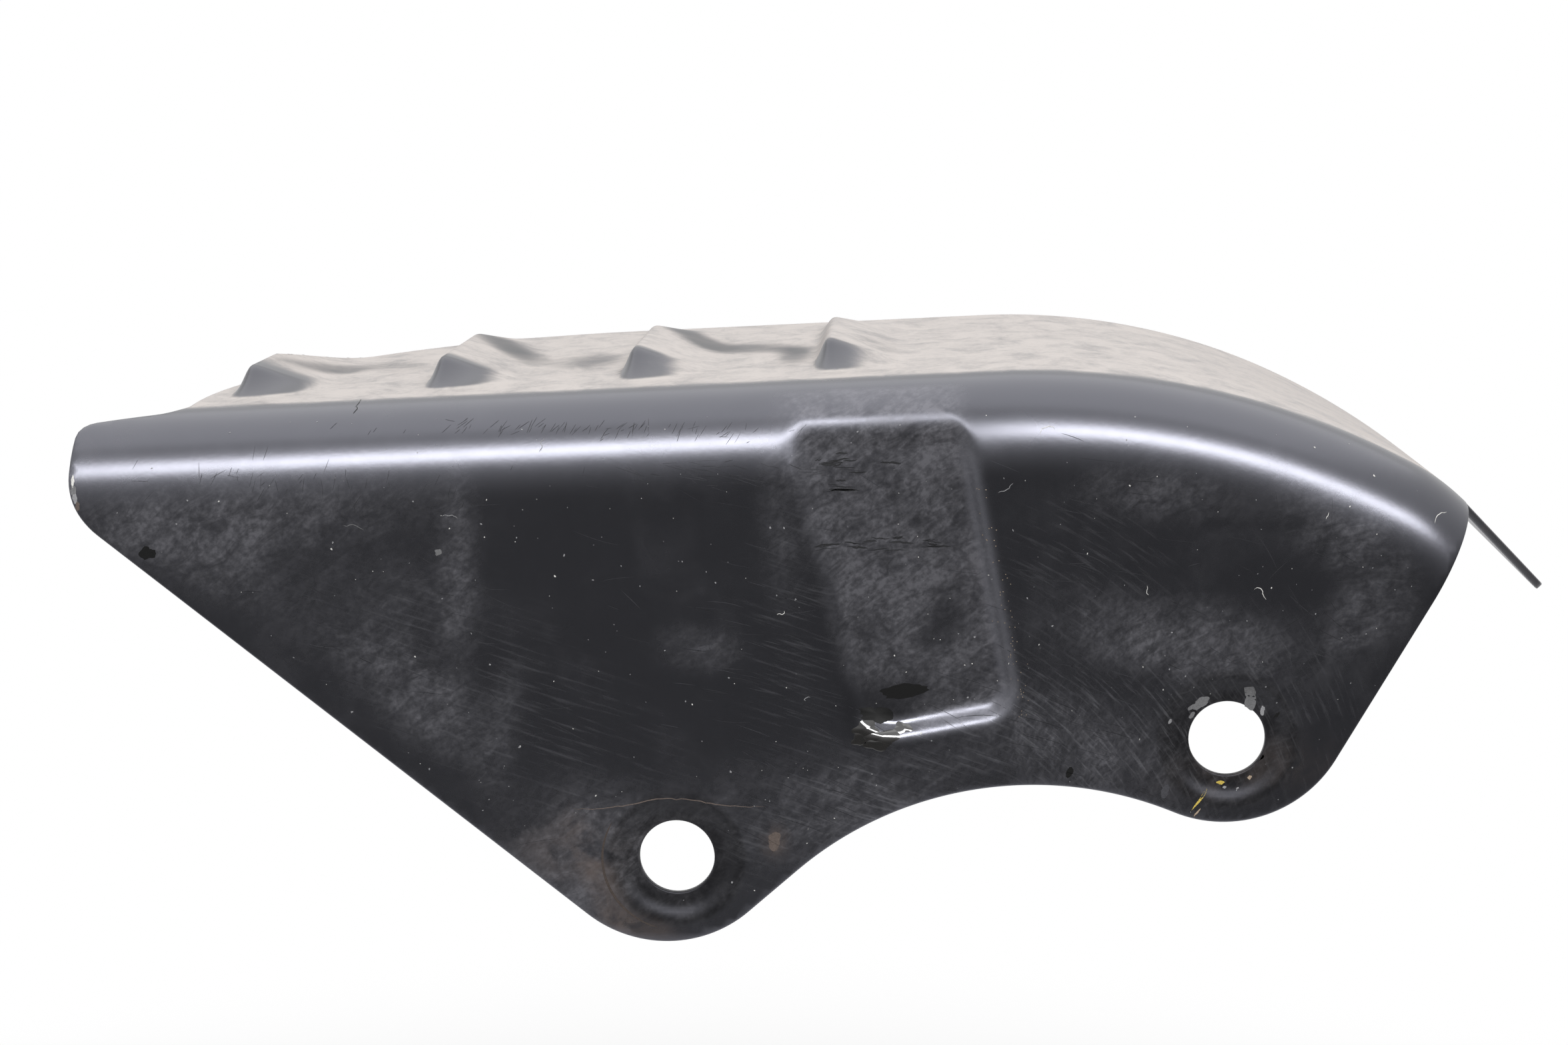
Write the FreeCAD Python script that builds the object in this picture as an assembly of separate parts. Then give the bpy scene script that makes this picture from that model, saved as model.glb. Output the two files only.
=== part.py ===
import FreeCAD, Part
import math
import os

from FreeCAD import Placement, Rotation, Vector

# Sprocket guard: one pressed steel sheet. An upright face carries two bolt holes, and a wide bend turns
# its top edge into a roof over the chain. X runs along the guard, Y from the face to the engine, Z up.
# The origin is the middle of the lower bolt hole, on the mounting face at the back of its dished seat.

# Sheet and fold
SHEET = 1.0
BEND_RADIUS = 11.0
ROOF_DEPTH = 65.0

# Roof line, seen from the front: a straight rise, an arc over the crown, a shoulder and a straight fall.
# Both arcs change evenly from their radius at the face to the one that they share at the back of the roof.
ROOF_RISE_DEG = 3.0
TURN_X = 37.4
TURN_Z = 57.63
CROWN_RADIUS = 100.3
SHOULDER_RADIUS = 16.0
BACK_RADIUS = 86.5
SHOULDER_DEG = 27.0
TAIL_FALL_DEG = 44.5

# Bolt holes and their dished seats
HOLE_RADIUS = 4.5
UPPER_HOLE_X = 65.2
UPPER_HOLE_Z = 15.4
SEAT_RADIUS = 5.9
SEAT_RIM_RADIUS = 7.45
SEAT_DEPTH = 0.9
SEAT_ROUND = 1.2

# Outline of the face: a rounded tip, two lobes below the holes and an arch between the lobes
TIP_X = -71.7
TIP_Z = 46.1
TIP_RADIUS = 9.2
LOBE_RADIUS = 15.0
LOWER_LOBE_X = -1.4
LOWER_LOBE_Z = 4.6
UPPER_LOBE_X = 64.8
UPPER_LOBE_Z = 20.35
ARCH_RADIUS = 42.6
FLANK_LENGTH = 8.0
SIDE_LEAN_DEG = 61.0

# Outline of the roof, seen from above, with depths measured from the front of the face
TIP_EDGE_DEPTH = 6.8
TIP_EDGE_RUN_OUT = 9.3
TIP_CORNER_RADIUS = 2.6
ROOF_LEFT_X = -59.7
ROOF_NOTCH_RADIUS = 4.0
ROOF_CORNER_RADIUS = 50.0
ROOF_RIGHT_CORNER_X = 66.5
TAIL_ROOT_DEPTH = 13.0
TAIL_EDGE_DEG = 57.5
TAIL_TIP_RADIUS = 4.0

# Ribs pressed up across the roof, steep on the left and gentle on the right
RIB_COUNT = 4
RIB_FIRST_X = -54.5
RIB_PITCH = 24.0
RIB_HEIGHT = 3.75
RIB_PEAK_DEPTH = 24.0
RIB_END_DEPTH = 56.0
RIB_FALL_DEG = 3.2
RIB_LEFT_DEG = 60.0
RIB_RIGHT_DEG = 25.0
RIB_FRONT_DEG = 27.0
RIB_BACK_DEG = 16.0
RIB_CREST_RADIUS = 1.4
RIB_FOOT_RADIUS = 1.2

# Pad pressed into the face below the crown, open into the bend
PAD_DEPTH = 2.2
PAD_LEFT_X = 20.7
PAD_LEFT_LEAN_DEG = 104.4
PAD_RIGHT_X = 42.4
PAD_RIGHT_LEAN_DEG = 100.8
PAD_BOTTOM_Z = 15.4
PAD_BOTTOM_RISE_DEG = 11.7
PAD_CORNER_RADIUS = 5.0
PAD_WALL_RUN = 3.0
PAD_WALL_EASE = 1.0
PAD_WALL_EASE_DEPTH = 0.4

# Room beyond the finished outline for the shapes that are cut away
SPARE = 30.0

FACE_Y = -(SEAT_DEPTH + SHEET)
HOLES = ((0, 0), (UPPER_HOLE_X, UPPER_HOLE_Z))
UP = Vector(0, 0, 1)
BACKWARD = Vector(0, 1, 0)


def front_point(x, z, y=FACE_Y):
    """A point given as it is seen from the front."""
    return Vector(x, y, z)


def plan_point(x, depth):
    """A point seen from above, with its depth measured from the front of the face."""
    return Vector(x, FACE_Y + depth, 0)


def polar(angle_deg, length=1.0):
    """Horizontal and upright parts of a length at an angle from the horizontal."""
    angle = math.radians(angle_deg)
    return length * math.cos(angle), length * math.sin(angle)


def segment(start, end):
    """A straight edge."""
    return Part.LineSegment(start, end).toShape()


def arc(start, middle, end):
    """A circular edge through three points."""
    return Part.Arc(start, middle, end).toShape()


def circle_arc(centre, radius, start_deg, end_deg, place):
    """A circular edge about a centre (u, v) from one angle to another, set in space by place(u, v)."""
    points = []
    for share in (0.0, 0.5, 1.0):
        du, dv = polar(start_deg + share * (end_deg - start_deg), radius)
        points.append(place(centre[0] + du, centre[1] + dv))
    return arc(*points)


def prism(edges, direction):
    """The solid swept by a closed outline of edges."""
    return Part.Face(Part.Wire(edges)).extrude(direction)


def rounded_corner(before, corner, after, radius):
    """Start, middle and end of a round of the radius at the corner of two straight edges."""
    inward = (before - corner).normalize()
    outward = (after - corner).normalize()
    half = inward.getAngle(outward) / 2
    reach = radius / math.tan(half)
    bisector = (inward + outward).normalize()
    middle = corner + bisector * (radius / math.sin(half) - radius)
    return corner + inward * reach, middle, corner + outward * reach


def rounded_outline(corners, radii):
    """The edges of a closed polygon, each corner rounded by its own radius or sharp where that is 0."""
    edges = []
    last = None
    first = None
    count = len(corners)
    for index in range(count):
        corner = corners[index]
        if radii[index] > 0:
            before = corners[index - 1]
            after = corners[(index + 1) % count]
            start, middle, end = rounded_corner(before, corner, after, radii[index])
        else:
            start, middle, end = corner, None, corner
        if last is not None:
            edges.append(segment(last, start))
        if middle is not None:
            edges.append(arc(start, middle, end))
        if first is None:
            first = start
        last = end
    edges.append(segment(last, first))
    return edges


def on_line(x, z, angle_deg, distance):
    """X and Z of the point at a distance from another, at an angle from upright."""
    dz, dx = polar(angle_deg, distance)
    return x + dx, z + dz


def roof_arcs(depth):
    """Centre X, centre Z and radius of the roof line's two arcs, crown and shoulder, at a depth."""
    share = depth / ROOF_DEPTH
    crown = CROWN_RADIUS + (BACK_RADIUS - CROWN_RADIUS) * share
    shoulder = SHOULDER_RADIUS + (BACK_RADIUS - SHOULDER_RADIUS) * share
    crown_centre = on_line(TURN_X, TURN_Z, -ROOF_RISE_DEG, -crown)
    shoulder_centre = on_line(*crown_centre, SHOULDER_DEG, crown - shoulder)
    return (*crown_centre, crown), (*shoulder_centre, shoulder)


def arc_point(roof_arc, angle_deg, inset, depth):
    """A point of one of the roof line's arcs, on the face that lies inset below it."""
    x, z, radius = roof_arc
    return front_point(*on_line(x, z, angle_deg, radius - inset), FACE_Y + depth)


def fall_start(inset, depth):
    """Where the shoulder runs into the straight fall."""
    return arc_point(roof_arcs(depth)[1], TAIL_FALL_DEG, inset, depth)


def fold_section(inset, depth):
    """The outline of the solid under the roof at one depth, and the corners along its top."""
    crown, shoulder = roof_arcs(depth)
    rise_end = arc_point(crown, -ROOF_RISE_DEG, inset, depth)
    crown_middle = arc_point(crown, (SHOULDER_DEG - ROOF_RISE_DEG) / 2, inset, depth)
    crown_end = arc_point(crown, SHOULDER_DEG, inset, depth)
    shoulder_middle = arc_point(shoulder, (SHOULDER_DEG + TAIL_FALL_DEG) / 2, inset, depth)
    shoulder_end = fall_start(inset, depth)
    run = rise_end.x - TIP_X + SPARE
    start = rise_end - front_point(run, run * math.tan(math.radians(ROOF_RISE_DEG)), 0)
    drop = ROOF_RIGHT_CORNER_X + ROOF_CORNER_RADIUS - shoulder_end.x + SPARE
    end = shoulder_end + front_point(drop, -drop * math.tan(math.radians(TAIL_FALL_DEG)), 0)
    bottom_z = LOWER_LOBE_Z - LOBE_RADIUS - 2 * SPARE
    corner_right = front_point(end.x, bottom_z, end.y)
    corner_left = front_point(start.x, bottom_z, start.y)
    edges = [segment(start, rise_end)]
    edges.append(arc(rise_end, crown_middle, crown_end))
    edges.append(arc(crown_end, shoulder_middle, shoulder_end))
    edges.append(segment(shoulder_end, end))
    edges.append(segment(end, corner_right))
    edges.append(segment(corner_right, corner_left))
    edges.append(segment(corner_left, start))
    return Part.Wire(edges), (start, rise_end, crown_end, shoulder_end, end)


def fold(inset):
    """The solid behind the face and under the roof, with its bend rounded, inset from the outside."""
    front, corners = fold_section(inset, inset)
    back, _ = fold_section(inset, ROOF_DEPTH + SPARE)
    block = Part.makeLoft([front, back], True, True)
    bend_edges = []
    for edge in block.Edges:
        ends = [vertex.Point for vertex in edge.Vertexes]
        if all(any(point.isEqual(corner, SHEET / 100) for corner in corners) for point in ends):
            bend_edges.append(edge)
    return block.makeFillet(BEND_RADIUS - inset, bend_edges)


class Plane:
    """A flat face given by its outward normal and a point on it."""

    def __init__(self, normal, point):
        self.normal = Vector(normal).normalize()
        self.offset = self.normal.dot(point)

    def inward(self, distance):
        """The same face moved inward."""
        return Plane(self.normal, self.normal * (self.offset - distance))


def meeting_point(first, second, third):
    """The point that three planes share."""
    across = second.normal.cross(third.normal)
    total = across * first.offset
    total += third.normal.cross(first.normal) * second.offset
    total += first.normal.cross(second.normal) * third.offset
    return total * (1 / first.normal.dot(across))


def flat_face(*points):
    """A flat face through the points."""
    return Part.Face(Part.makePolygon(list(points) + [points[0]]))


def rib(inset):
    """One rib, hipped at both ends, on the plane Z = 0 with its crest over X = 0, creased inside."""
    peak_y = FACE_Y + RIB_PEAK_DEPTH
    end_y = FACE_Y + RIB_END_DEPTH
    run = end_y - peak_y
    peak = Vector(0, peak_y, RIB_HEIGHT)
    end = Vector(0, end_y, RIB_HEIGHT - run * math.tan(math.radians(RIB_FALL_DEG)))
    crest = end - peak
    left_run, left_rise = polar(RIB_LEFT_DEG)
    right_run, right_rise = polar(RIB_RIGHT_DEG)
    front_run, front_rise = polar(RIB_FRONT_DEG)
    back_run, back_rise = polar(RIB_BACK_DEG)
    left = Plane(crest.cross(Vector(-left_run, 0, -left_rise)), peak).inward(inset)
    right = Plane(Vector(right_run, 0, -right_rise).cross(crest), peak).inward(inset)
    front = Plane(Vector(0, -front_rise, front_run), peak).inward(inset)
    back = Plane(Vector(0, back_rise, back_run), end).inward(inset)
    base = Plane(-UP, UP * (-RIB_HEIGHT))
    peak = meeting_point(left, right, front)
    end = meeting_point(left, right, back)
    front_left = meeting_point(left, front, base)
    front_right = meeting_point(right, front, base)
    back_left = meeting_point(left, back, base)
    back_right = meeting_point(right, back, base)
    faces = [flat_face(front_left, front_right, peak)]
    faces.append(flat_face(back_left, end, back_right))
    faces.append(flat_face(front_left, peak, end, back_left))
    faces.append(flat_face(front_right, back_right, end, peak))
    faces.append(flat_face(front_left, back_left, back_right, front_right))
    solid = Part.Solid(Part.Shell(faces))
    if solid.Volume < 0:
        solid.reverse()
    if inset > 0:
        return solid
    tops = [edge for edge in solid.Edges if edge.BoundBox.ZMax > 0]
    return solid.makeFillet(RIB_CREST_RADIUS, tops)


def roof_height(x):
    """Height of the straight part of the roof's outside at X."""
    return TURN_Z - (TURN_X - x) * math.tan(math.radians(ROOF_RISE_DEG))


def ribbed(form, inset):
    """The form with its ribs raised on the roof, each with a rounded foot."""
    turn = Rotation(BACKWARD, -ROOF_RISE_DEG)
    template = rib(inset)
    for index in range(RIB_COUNT):
        x = RIB_FIRST_X + index * RIB_PITCH
        copy = template.copy()
        copy.Placement = Placement(Vector(x, 0, roof_height(x)), turn)
        form = form.fuse(copy)
    normal = turn.multVec(UP)
    level = normal.dot(Vector(RIB_FIRST_X, 0, roof_height(RIB_FIRST_X))) - inset
    first_y = FACE_Y + BEND_RADIUS + SHEET / 10
    last_y = FACE_Y + ROOF_DEPTH + SPARE / 2
    left_x = RIB_FIRST_X - RIB_PITCH / 2
    right_x = RIB_FIRST_X + (RIB_COUNT - 0.5) * RIB_PITCH
    feet = []
    for edge in form.Edges:
        if edge.Degenerated:
            continue
        points = edge.discretize(5)
        on_roof = all(abs(normal.dot(point) - level) < SHEET / 1000 for point in points)
        box = edge.BoundBox
        inside = box.YMin > first_y and box.YMax < last_y and box.XMin > left_x and box.XMax < right_x
        if on_roof and inside:
            feet.append(edge)
    return form.makeFillet(RIB_FOOT_RADIUS, feet)


def pad_section(shrink, y):
    """The pad's outline at one depth, shrunk towards its middle, open at the top into the bend."""
    top_z = TURN_Z + SPARE
    lean_left = 1 / math.tan(math.radians(PAD_LEFT_LEAN_DEG))
    lean_right = 1 / math.tan(math.radians(PAD_RIGHT_LEAN_DEG))
    rise = math.tan(math.radians(PAD_BOTTOM_RISE_DEG))
    left = PAD_LEFT_X + shrink * math.hypot(1, lean_left)
    right = PAD_RIGHT_X - shrink * math.hypot(1, lean_right)
    middle_x = (PAD_LEFT_X + PAD_RIGHT_X) / 2
    bottom = PAD_BOTTOM_Z + shrink * math.hypot(1, rise)

    def wall_x(foot, lean, z):
        return foot + lean * (z - PAD_BOTTOM_Z)

    def corner(foot, lean):
        z = (bottom + rise * (foot - lean * PAD_BOTTOM_Z - middle_x)) / (1 - rise * lean)
        return front_point(wall_x(foot, lean, z), z, y)

    corners = [front_point(wall_x(left, lean_left, top_z), top_z, y)]
    corners.append(corner(left, lean_left))
    corners.append(corner(right, lean_right))
    corners.append(front_point(wall_x(right, lean_right, top_z), top_z, y))
    round_radius = PAD_CORNER_RADIUS - shrink
    return Part.Wire(rounded_outline(corners, [0, round_radius, round_radius, 0]))


def pad_pocket(inset):
    """What the pad takes out of the form: a pocket whose walls start and end gently."""
    steps = [(0.0, 0.0), (PAD_WALL_EASE, PAD_WALL_EASE_DEPTH)]
    steps.append((PAD_WALL_RUN - PAD_WALL_EASE, PAD_DEPTH - PAD_WALL_EASE_DEPTH))
    steps.append((PAD_WALL_RUN, PAD_DEPTH))
    slant = math.atan2(PAD_WALL_RUN, PAD_DEPTH)
    widen = inset * (1 - math.sin(slant)) / math.cos(slant)
    start_y = FACE_Y + inset
    sections = [pad_section(shrink - widen, start_y + depth) for shrink, depth in steps]
    walls = Part.makeLoft(sections, True, True)
    mouth = Part.Face(sections[0]).extrude(Vector(0, -SHEET, 0))
    return walls.fuse(mouth)


def dished(form, inset):
    """The form with a round dish pressed in about each bolt hole."""
    slant = math.atan2(SEAT_RIM_RADIUS - SEAT_RADIUS, SEAT_DEPTH)
    widen = inset * (1 - math.sin(slant)) / math.cos(slant)
    front_y = FACE_Y + inset
    rim = SEAT_RIM_RADIUS + widen
    floor = SEAT_RADIUS + widen
    for x, z in HOLES:
        form = form.cut(Part.makeCone(rim, floor, SEAT_DEPTH, front_point(x, z, front_y), BACKWARD))
    rims = []
    for edge in form.Edges:
        is_round = isinstance(edge.Curve, Part.Circle) and edge.isClosed()
        if is_round and abs(edge.Curve.Center.y - front_y) < SHEET / 100:
            rims.append(edge)
    return form.makeFillet(SEAT_ROUND, rims)


def pressed_form(inset):
    """One skin of the guard as a solid, inset from the outside by the sheet or by nothing."""
    form = dished(fold(inset), inset)
    form = ribbed(form, inset)
    return form.cut(pad_pocket(inset))


def on_circle(centre, radius, angle_deg):
    """The front point of a circle at an angle."""
    du, dv = polar(angle_deg, radius)
    return front_point(centre[0] + du, centre[1] + dv)


def below(first, first_reach, second, second_reach):
    """The centre at the two distances from two points, on the lower side of the line between them."""
    run = second[0] - first[0]
    rise = second[1] - first[1]
    span = math.hypot(run, rise)
    along = (first_reach ** 2 - second_reach ** 2 + span ** 2) / (2 * span)
    drop = math.sqrt(first_reach ** 2 - along ** 2)
    return first[0] + (along * run + drop * rise) / span, first[1] + (along * rise - drop * run) / span


def face_prism():
    """All that lies behind the outline of the face, whose lines and arcs run into each other smoothly."""
    tip = (TIP_X + TIP_RADIUS, TIP_Z)
    lower = (LOWER_LOBE_X, LOWER_LOBE_Z)
    upper = (UPPER_LOBE_X, UPPER_LOBE_Z)
    reach = ARCH_RADIUS + LOBE_RADIUS
    arch = below(lower, math.hypot(reach, FLANK_LENGTH), upper, reach)
    slope_run = (lower[0] - tip[0], lower[1] - tip[1])
    slope_turn = math.acos((TIP_RADIUS - LOBE_RADIUS) / math.hypot(*slope_run))
    slope = math.degrees(math.atan2(slope_run[1], slope_run[0]) - slope_turn)
    flank_run = (arch[0] - lower[0], arch[1] - lower[1])
    flank_turn = math.acos(reach / math.hypot(*flank_run))
    flank = math.degrees(math.atan2(flank_run[1], flank_run[0]) - flank_turn)
    meet = math.degrees(math.atan2(upper[1] - arch[1], upper[0] - arch[0]))
    side = SIDE_LEAN_DEG - 90
    top_z = TURN_Z + RIB_HEIGHT + SPARE
    side_start = on_circle(upper, LOBE_RADIUS, side)
    side_end = front_point(side_x(top_z), top_z)
    left_top = front_point(TIP_X, top_z)
    edges = [segment(left_top, front_point(TIP_X, TIP_Z))]
    edges.append(circle_arc(tip, TIP_RADIUS, -180, slope, front_point))
    edges.append(segment(on_circle(tip, TIP_RADIUS, slope), on_circle(lower, LOBE_RADIUS, slope)))
    edges.append(circle_arc(lower, LOBE_RADIUS, slope, flank, front_point))
    edges.append(segment(on_circle(lower, LOBE_RADIUS, flank), on_circle(arch, ARCH_RADIUS, flank + 180)))
    edges.append(circle_arc(arch, ARCH_RADIUS, flank + 180, meet, front_point))
    edges.append(circle_arc(upper, LOBE_RADIUS, meet - 180, side, front_point))
    edges.append(segment(side_start, side_end))
    edges.append(segment(side_end, left_top))
    return prism(edges, BACKWARD * (ROOF_DEPTH + SPARE))


def side_x(z):
    """How far right the leaning side of the face reaches at a height."""
    run, rise = polar(SIDE_LEAN_DEG)
    return UPPER_LOBE_X + LOBE_RADIUS * rise + (z - UPPER_LOBE_Z + LOBE_RADIUS * run) * run / rise


def side_top_x():
    """Where the leaning side of the face meets the straight fall of the roof, as the bend ends."""
    start = fall_start(0, BEND_RADIUS)
    run, rise = polar(SIDE_LEAN_DEG)
    slope = run / rise * math.tan(math.radians(TAIL_FALL_DEG))
    return (side_x(start.z) + slope * start.x) / (1 + slope)


def upright(edges):
    """The upright solid over an outline seen from above, from below the face to above the ribs."""
    bottom = LOWER_LOBE_Z - LOBE_RADIUS - SPARE
    solid = prism(edges, UP * (TURN_Z + RIB_HEIGHT + SPARE - bottom))
    solid.translate(UP * bottom)
    return solid


def roof_prism():
    """All that lies under the outline of the roof and its left tip."""
    left = (ROOF_LEFT_X + ROOF_CORNER_RADIUS, ROOF_DEPTH - ROOF_CORNER_RADIUS)
    right = (ROOF_RIGHT_CORNER_X, left[1])
    right_x = right[0] + ROOF_CORNER_RADIUS
    front_left = plan_point(TIP_X, -SPARE)
    front_right = plan_point(right_x, -SPARE)
    tip = plan_point(TIP_X, TIP_EDGE_DEPTH)
    notch = plan_point(ROOF_LEFT_X, TIP_EDGE_RUN_OUT)
    left_end = plan_point(ROOF_LEFT_X, left[1])
    tip_round = rounded_corner(front_left, tip, notch, TIP_CORNER_RADIUS)
    notch_round = rounded_corner(tip, notch, left_end, ROOF_NOTCH_RADIUS)
    edges = [segment(front_left, tip_round[0]), arc(*tip_round)]
    edges.append(segment(tip_round[2], notch_round[0]))
    edges.append(arc(*notch_round))
    edges.append(segment(notch_round[2], left_end))
    edges.append(circle_arc(left, ROOF_CORNER_RADIUS, 180, 90, plan_point))
    edges.append(segment(plan_point(left[0], ROOF_DEPTH), plan_point(right[0], ROOF_DEPTH)))
    edges.append(circle_arc(right, ROOF_CORNER_RADIUS, 90, 0, plan_point))
    edges.append(segment(plan_point(right_x, right[1]), front_right))
    edges.append(segment(front_right, front_left))
    return upright(edges)


def tail_prism():
    """All that lies under the tail, which runs on behind the bend, past the right side, to a round tip."""
    run, rise = polar(TAIL_EDGE_DEG)
    root_x = side_top_x()
    root_reach = (TAIL_ROOT_DEPTH - BEND_RADIUS) * run / rise
    back_depth = ROOF_DEPTH + SPARE
    back_x = root_x + (back_depth - TAIL_ROOT_DEPTH) * run / rise
    corners = [plan_point(TURN_X, BEND_RADIUS), plan_point(root_x - root_reach, BEND_RADIUS)]
    corners.append(plan_point(back_x, back_depth))
    corners.append(plan_point(TURN_X, back_depth))
    tail = upright(rounded_outline(corners, [0, 0, 0, 0])).common(roof_prism())
    tip_x = max(vertex.X for vertex in tail.Vertexes)
    tips = [edge for edge in tail.Edges if all(vertex.X > tip_x - SHEET / 10 for vertex in edge.Vertexes)]
    return tail.makeFillet(TAIL_TIP_RADIUS, tips)


def guard():
    """The sheet between its two skins, cut to its outlines and drilled."""
    outline = face_prism().common(roof_prism()).fuse(tail_prism())
    sheet = pressed_form(0).cut(pressed_form(SHEET)).common(outline)
    for x, z in HOLES:
        sheet = sheet.cut(Part.makeCylinder(HOLE_RADIUS, SPARE, front_point(x, z), BACKWARD))
    return sheet.Solids[0]


os.makedirs("parts", exist_ok=True)
guard().exportStep("parts/sprocket_guard.step")
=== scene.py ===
"""Looks of the sprocket guard: a folded steel sheet in worn gloss black paint, dusty on its roof."""

import logging
import math
from dataclasses import dataclass, field
from enum import Enum
from functools import cached_property

import bpy
import numpy as np
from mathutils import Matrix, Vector, geometry


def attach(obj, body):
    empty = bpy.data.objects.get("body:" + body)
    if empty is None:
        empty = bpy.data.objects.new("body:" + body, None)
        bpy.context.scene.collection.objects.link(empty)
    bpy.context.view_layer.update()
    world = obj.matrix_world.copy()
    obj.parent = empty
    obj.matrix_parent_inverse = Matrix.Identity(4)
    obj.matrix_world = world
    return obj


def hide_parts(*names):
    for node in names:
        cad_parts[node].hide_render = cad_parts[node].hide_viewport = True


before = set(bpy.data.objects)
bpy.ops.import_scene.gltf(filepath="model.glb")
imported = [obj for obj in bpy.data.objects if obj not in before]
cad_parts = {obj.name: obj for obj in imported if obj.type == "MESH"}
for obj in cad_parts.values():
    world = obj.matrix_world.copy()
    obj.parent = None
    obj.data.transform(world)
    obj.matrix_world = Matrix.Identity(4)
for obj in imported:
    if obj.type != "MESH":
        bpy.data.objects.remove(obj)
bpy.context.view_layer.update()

MM = 0.001
ROOF_RISE = math.radians(3.0)
SIDE_LEAN = math.radians(61.0)
LOG = logging.getLogger("sprocket_guard")


def smooth_step(value: np.ndarray) -> np.ndarray:
    """Clips a ramp to 0 to 1 and eases it so that it starts and ends flat."""
    t = np.clip(value, 0.0, 1.0)
    return t * t * t * (t * (6.0 * t - 15.0) + 10.0)


def soft_min(first: np.ndarray, second: np.ndarray, blend: float) -> np.ndarray:
    """The lesser of two fields, rounded where they differ by less than the blend."""
    near = np.maximum(blend - np.abs(first - second), 0.0)
    return np.minimum(first, second) - near * near / (4.0 * blend)


def soft_max(first: np.ndarray, second: np.ndarray, blend: float) -> np.ndarray:
    """The greater of two fields, rounded where they differ by less than the blend."""
    return -soft_min(-first, -second, blend)


def sample_line(start: tuple[float, float], end: tuple[float, float], step: float) -> np.ndarray:
    """Even points along a line, without its last one.

    Args:
        start: where the line starts.
        end: where it ends.
        step: spacing of the points.

    Returns:
        An array of points.
    """
    count = max(2, round(math.dist(start, end) / step))
    share = np.linspace(0.0, 1.0, count, endpoint=False)[:, None]
    return np.asarray(start) * (1.0 - share) + np.asarray(end) * share


def sample_arc(
    centre: tuple[float, float], radius: float, start: float, end: float, step: float
) -> np.ndarray:
    """Even points along an arc, without its last one.

    Args:
        centre: the arc's centre.
        radius: its radius.
        start: angle at its start, in radians.
        end: angle at its end, in radians.
        step: spacing of the points.

    Returns:
        An array of points.
    """
    count = max(2, round(abs(end - start) * radius / step))
    angle = np.linspace(start, end, count, endpoint=False)
    return np.stack((centre[0] + radius * np.cos(angle), centre[1] + radius * np.sin(angle)), axis=1)


@dataclass(frozen=True)
class RoofLine:
    """The roof's outside seen from the front: a straight rise, an arc over the crown and a straight fall."""

    rise: float = ROOF_RISE
    fall: float = math.radians(43.4)
    crown_x: float = 42.0
    crown_z: float = 57.75
    radius: float = 87.6

    def at(self, p: np.ndarray) -> tuple[np.ndarray, np.ndarray, np.ndarray, np.ndarray]:
        """Points and outward directions of the line.

        Args:
            p: distances along the line from the crown.

        Returns:
            The points' X and Z and the directions' X and Z.
        """
        angle = np.clip(p / self.radius, -self.rise, self.fall)
        over = p - angle * self.radius
        nx = np.sin(angle)
        nz = np.cos(angle)
        x = self.crown_x + self.radius * nx + over * nz
        z = self.crown_z - self.radius + self.radius * nz - over * nx
        return x, z, nx, nz

    def locate(self, x: np.ndarray, z: np.ndarray) -> tuple[np.ndarray, np.ndarray]:
        """Places points of the face against the line.

        Args:
            x: the points' X.
            z: the points' Z.

        Returns:
            The distances along the line and below it.
        """
        vx = x - self.crown_x
        vz = z - self.crown_z + self.radius
        angle = np.clip(np.arctan2(vx, vz), -self.rise, self.fall)
        nx = np.sin(angle)
        nz = np.cos(angle)
        return self.radius * angle + vx * nz - vz * nx, self.radius - vx * nx - vz * nz


@dataclass(frozen=True)
class RoofShape:
    """The roof's true height: a crown arc and a shoulder, whose radii change from the face to the back."""

    turn_x: float = 37.4
    turn_z: float = 57.63
    rise: float = ROOF_RISE
    crown: float = 100.3
    shoulder: float = 16.0
    back: float = 86.5
    depth: float = 65.0
    shoulder_turn: float = math.radians(27.0)
    fall: float = math.radians(44.5)

    def height(self, x: np.ndarray, depth: np.ndarray) -> np.ndarray:
        """Height of the roof's outside.

        Args:
            x: X of the points.
            depth: their distances behind the face's front.

        Returns:
            Their Z.
        """
        share = depth / self.depth
        crown = self.crown + (self.back - self.crown) * share
        shoulder = self.shoulder + (self.back - self.shoulder) * share
        centre_x = self.turn_x + crown * math.sin(self.rise)
        centre_z = self.turn_z - crown * math.cos(self.rise)
        over_x = centre_x + (crown - shoulder) * math.sin(self.shoulder_turn)
        over_z = centre_z + (crown - shoulder) * math.cos(self.shoulder_turn)
        first, last = math.sin(self.shoulder_turn), math.sin(self.fall)
        bent = np.clip((x - centre_x) / crown, -math.sin(self.rise), first)
        turned = np.clip((x - over_x) / shoulder, first, last)
        on_crown = centre_z + crown * np.sqrt(1.0 - bent**2)
        on_shoulder = over_z + shoulder * np.sqrt(1.0 - turned**2)
        z = np.where(x > centre_x + crown * first, on_shoulder, on_crown)
        z = z - np.maximum(self.turn_x - x, 0.0) * math.tan(self.rise)
        return z - np.maximum(x - over_x - shoulder * last, 0.0) * math.tan(self.fall)


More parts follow.
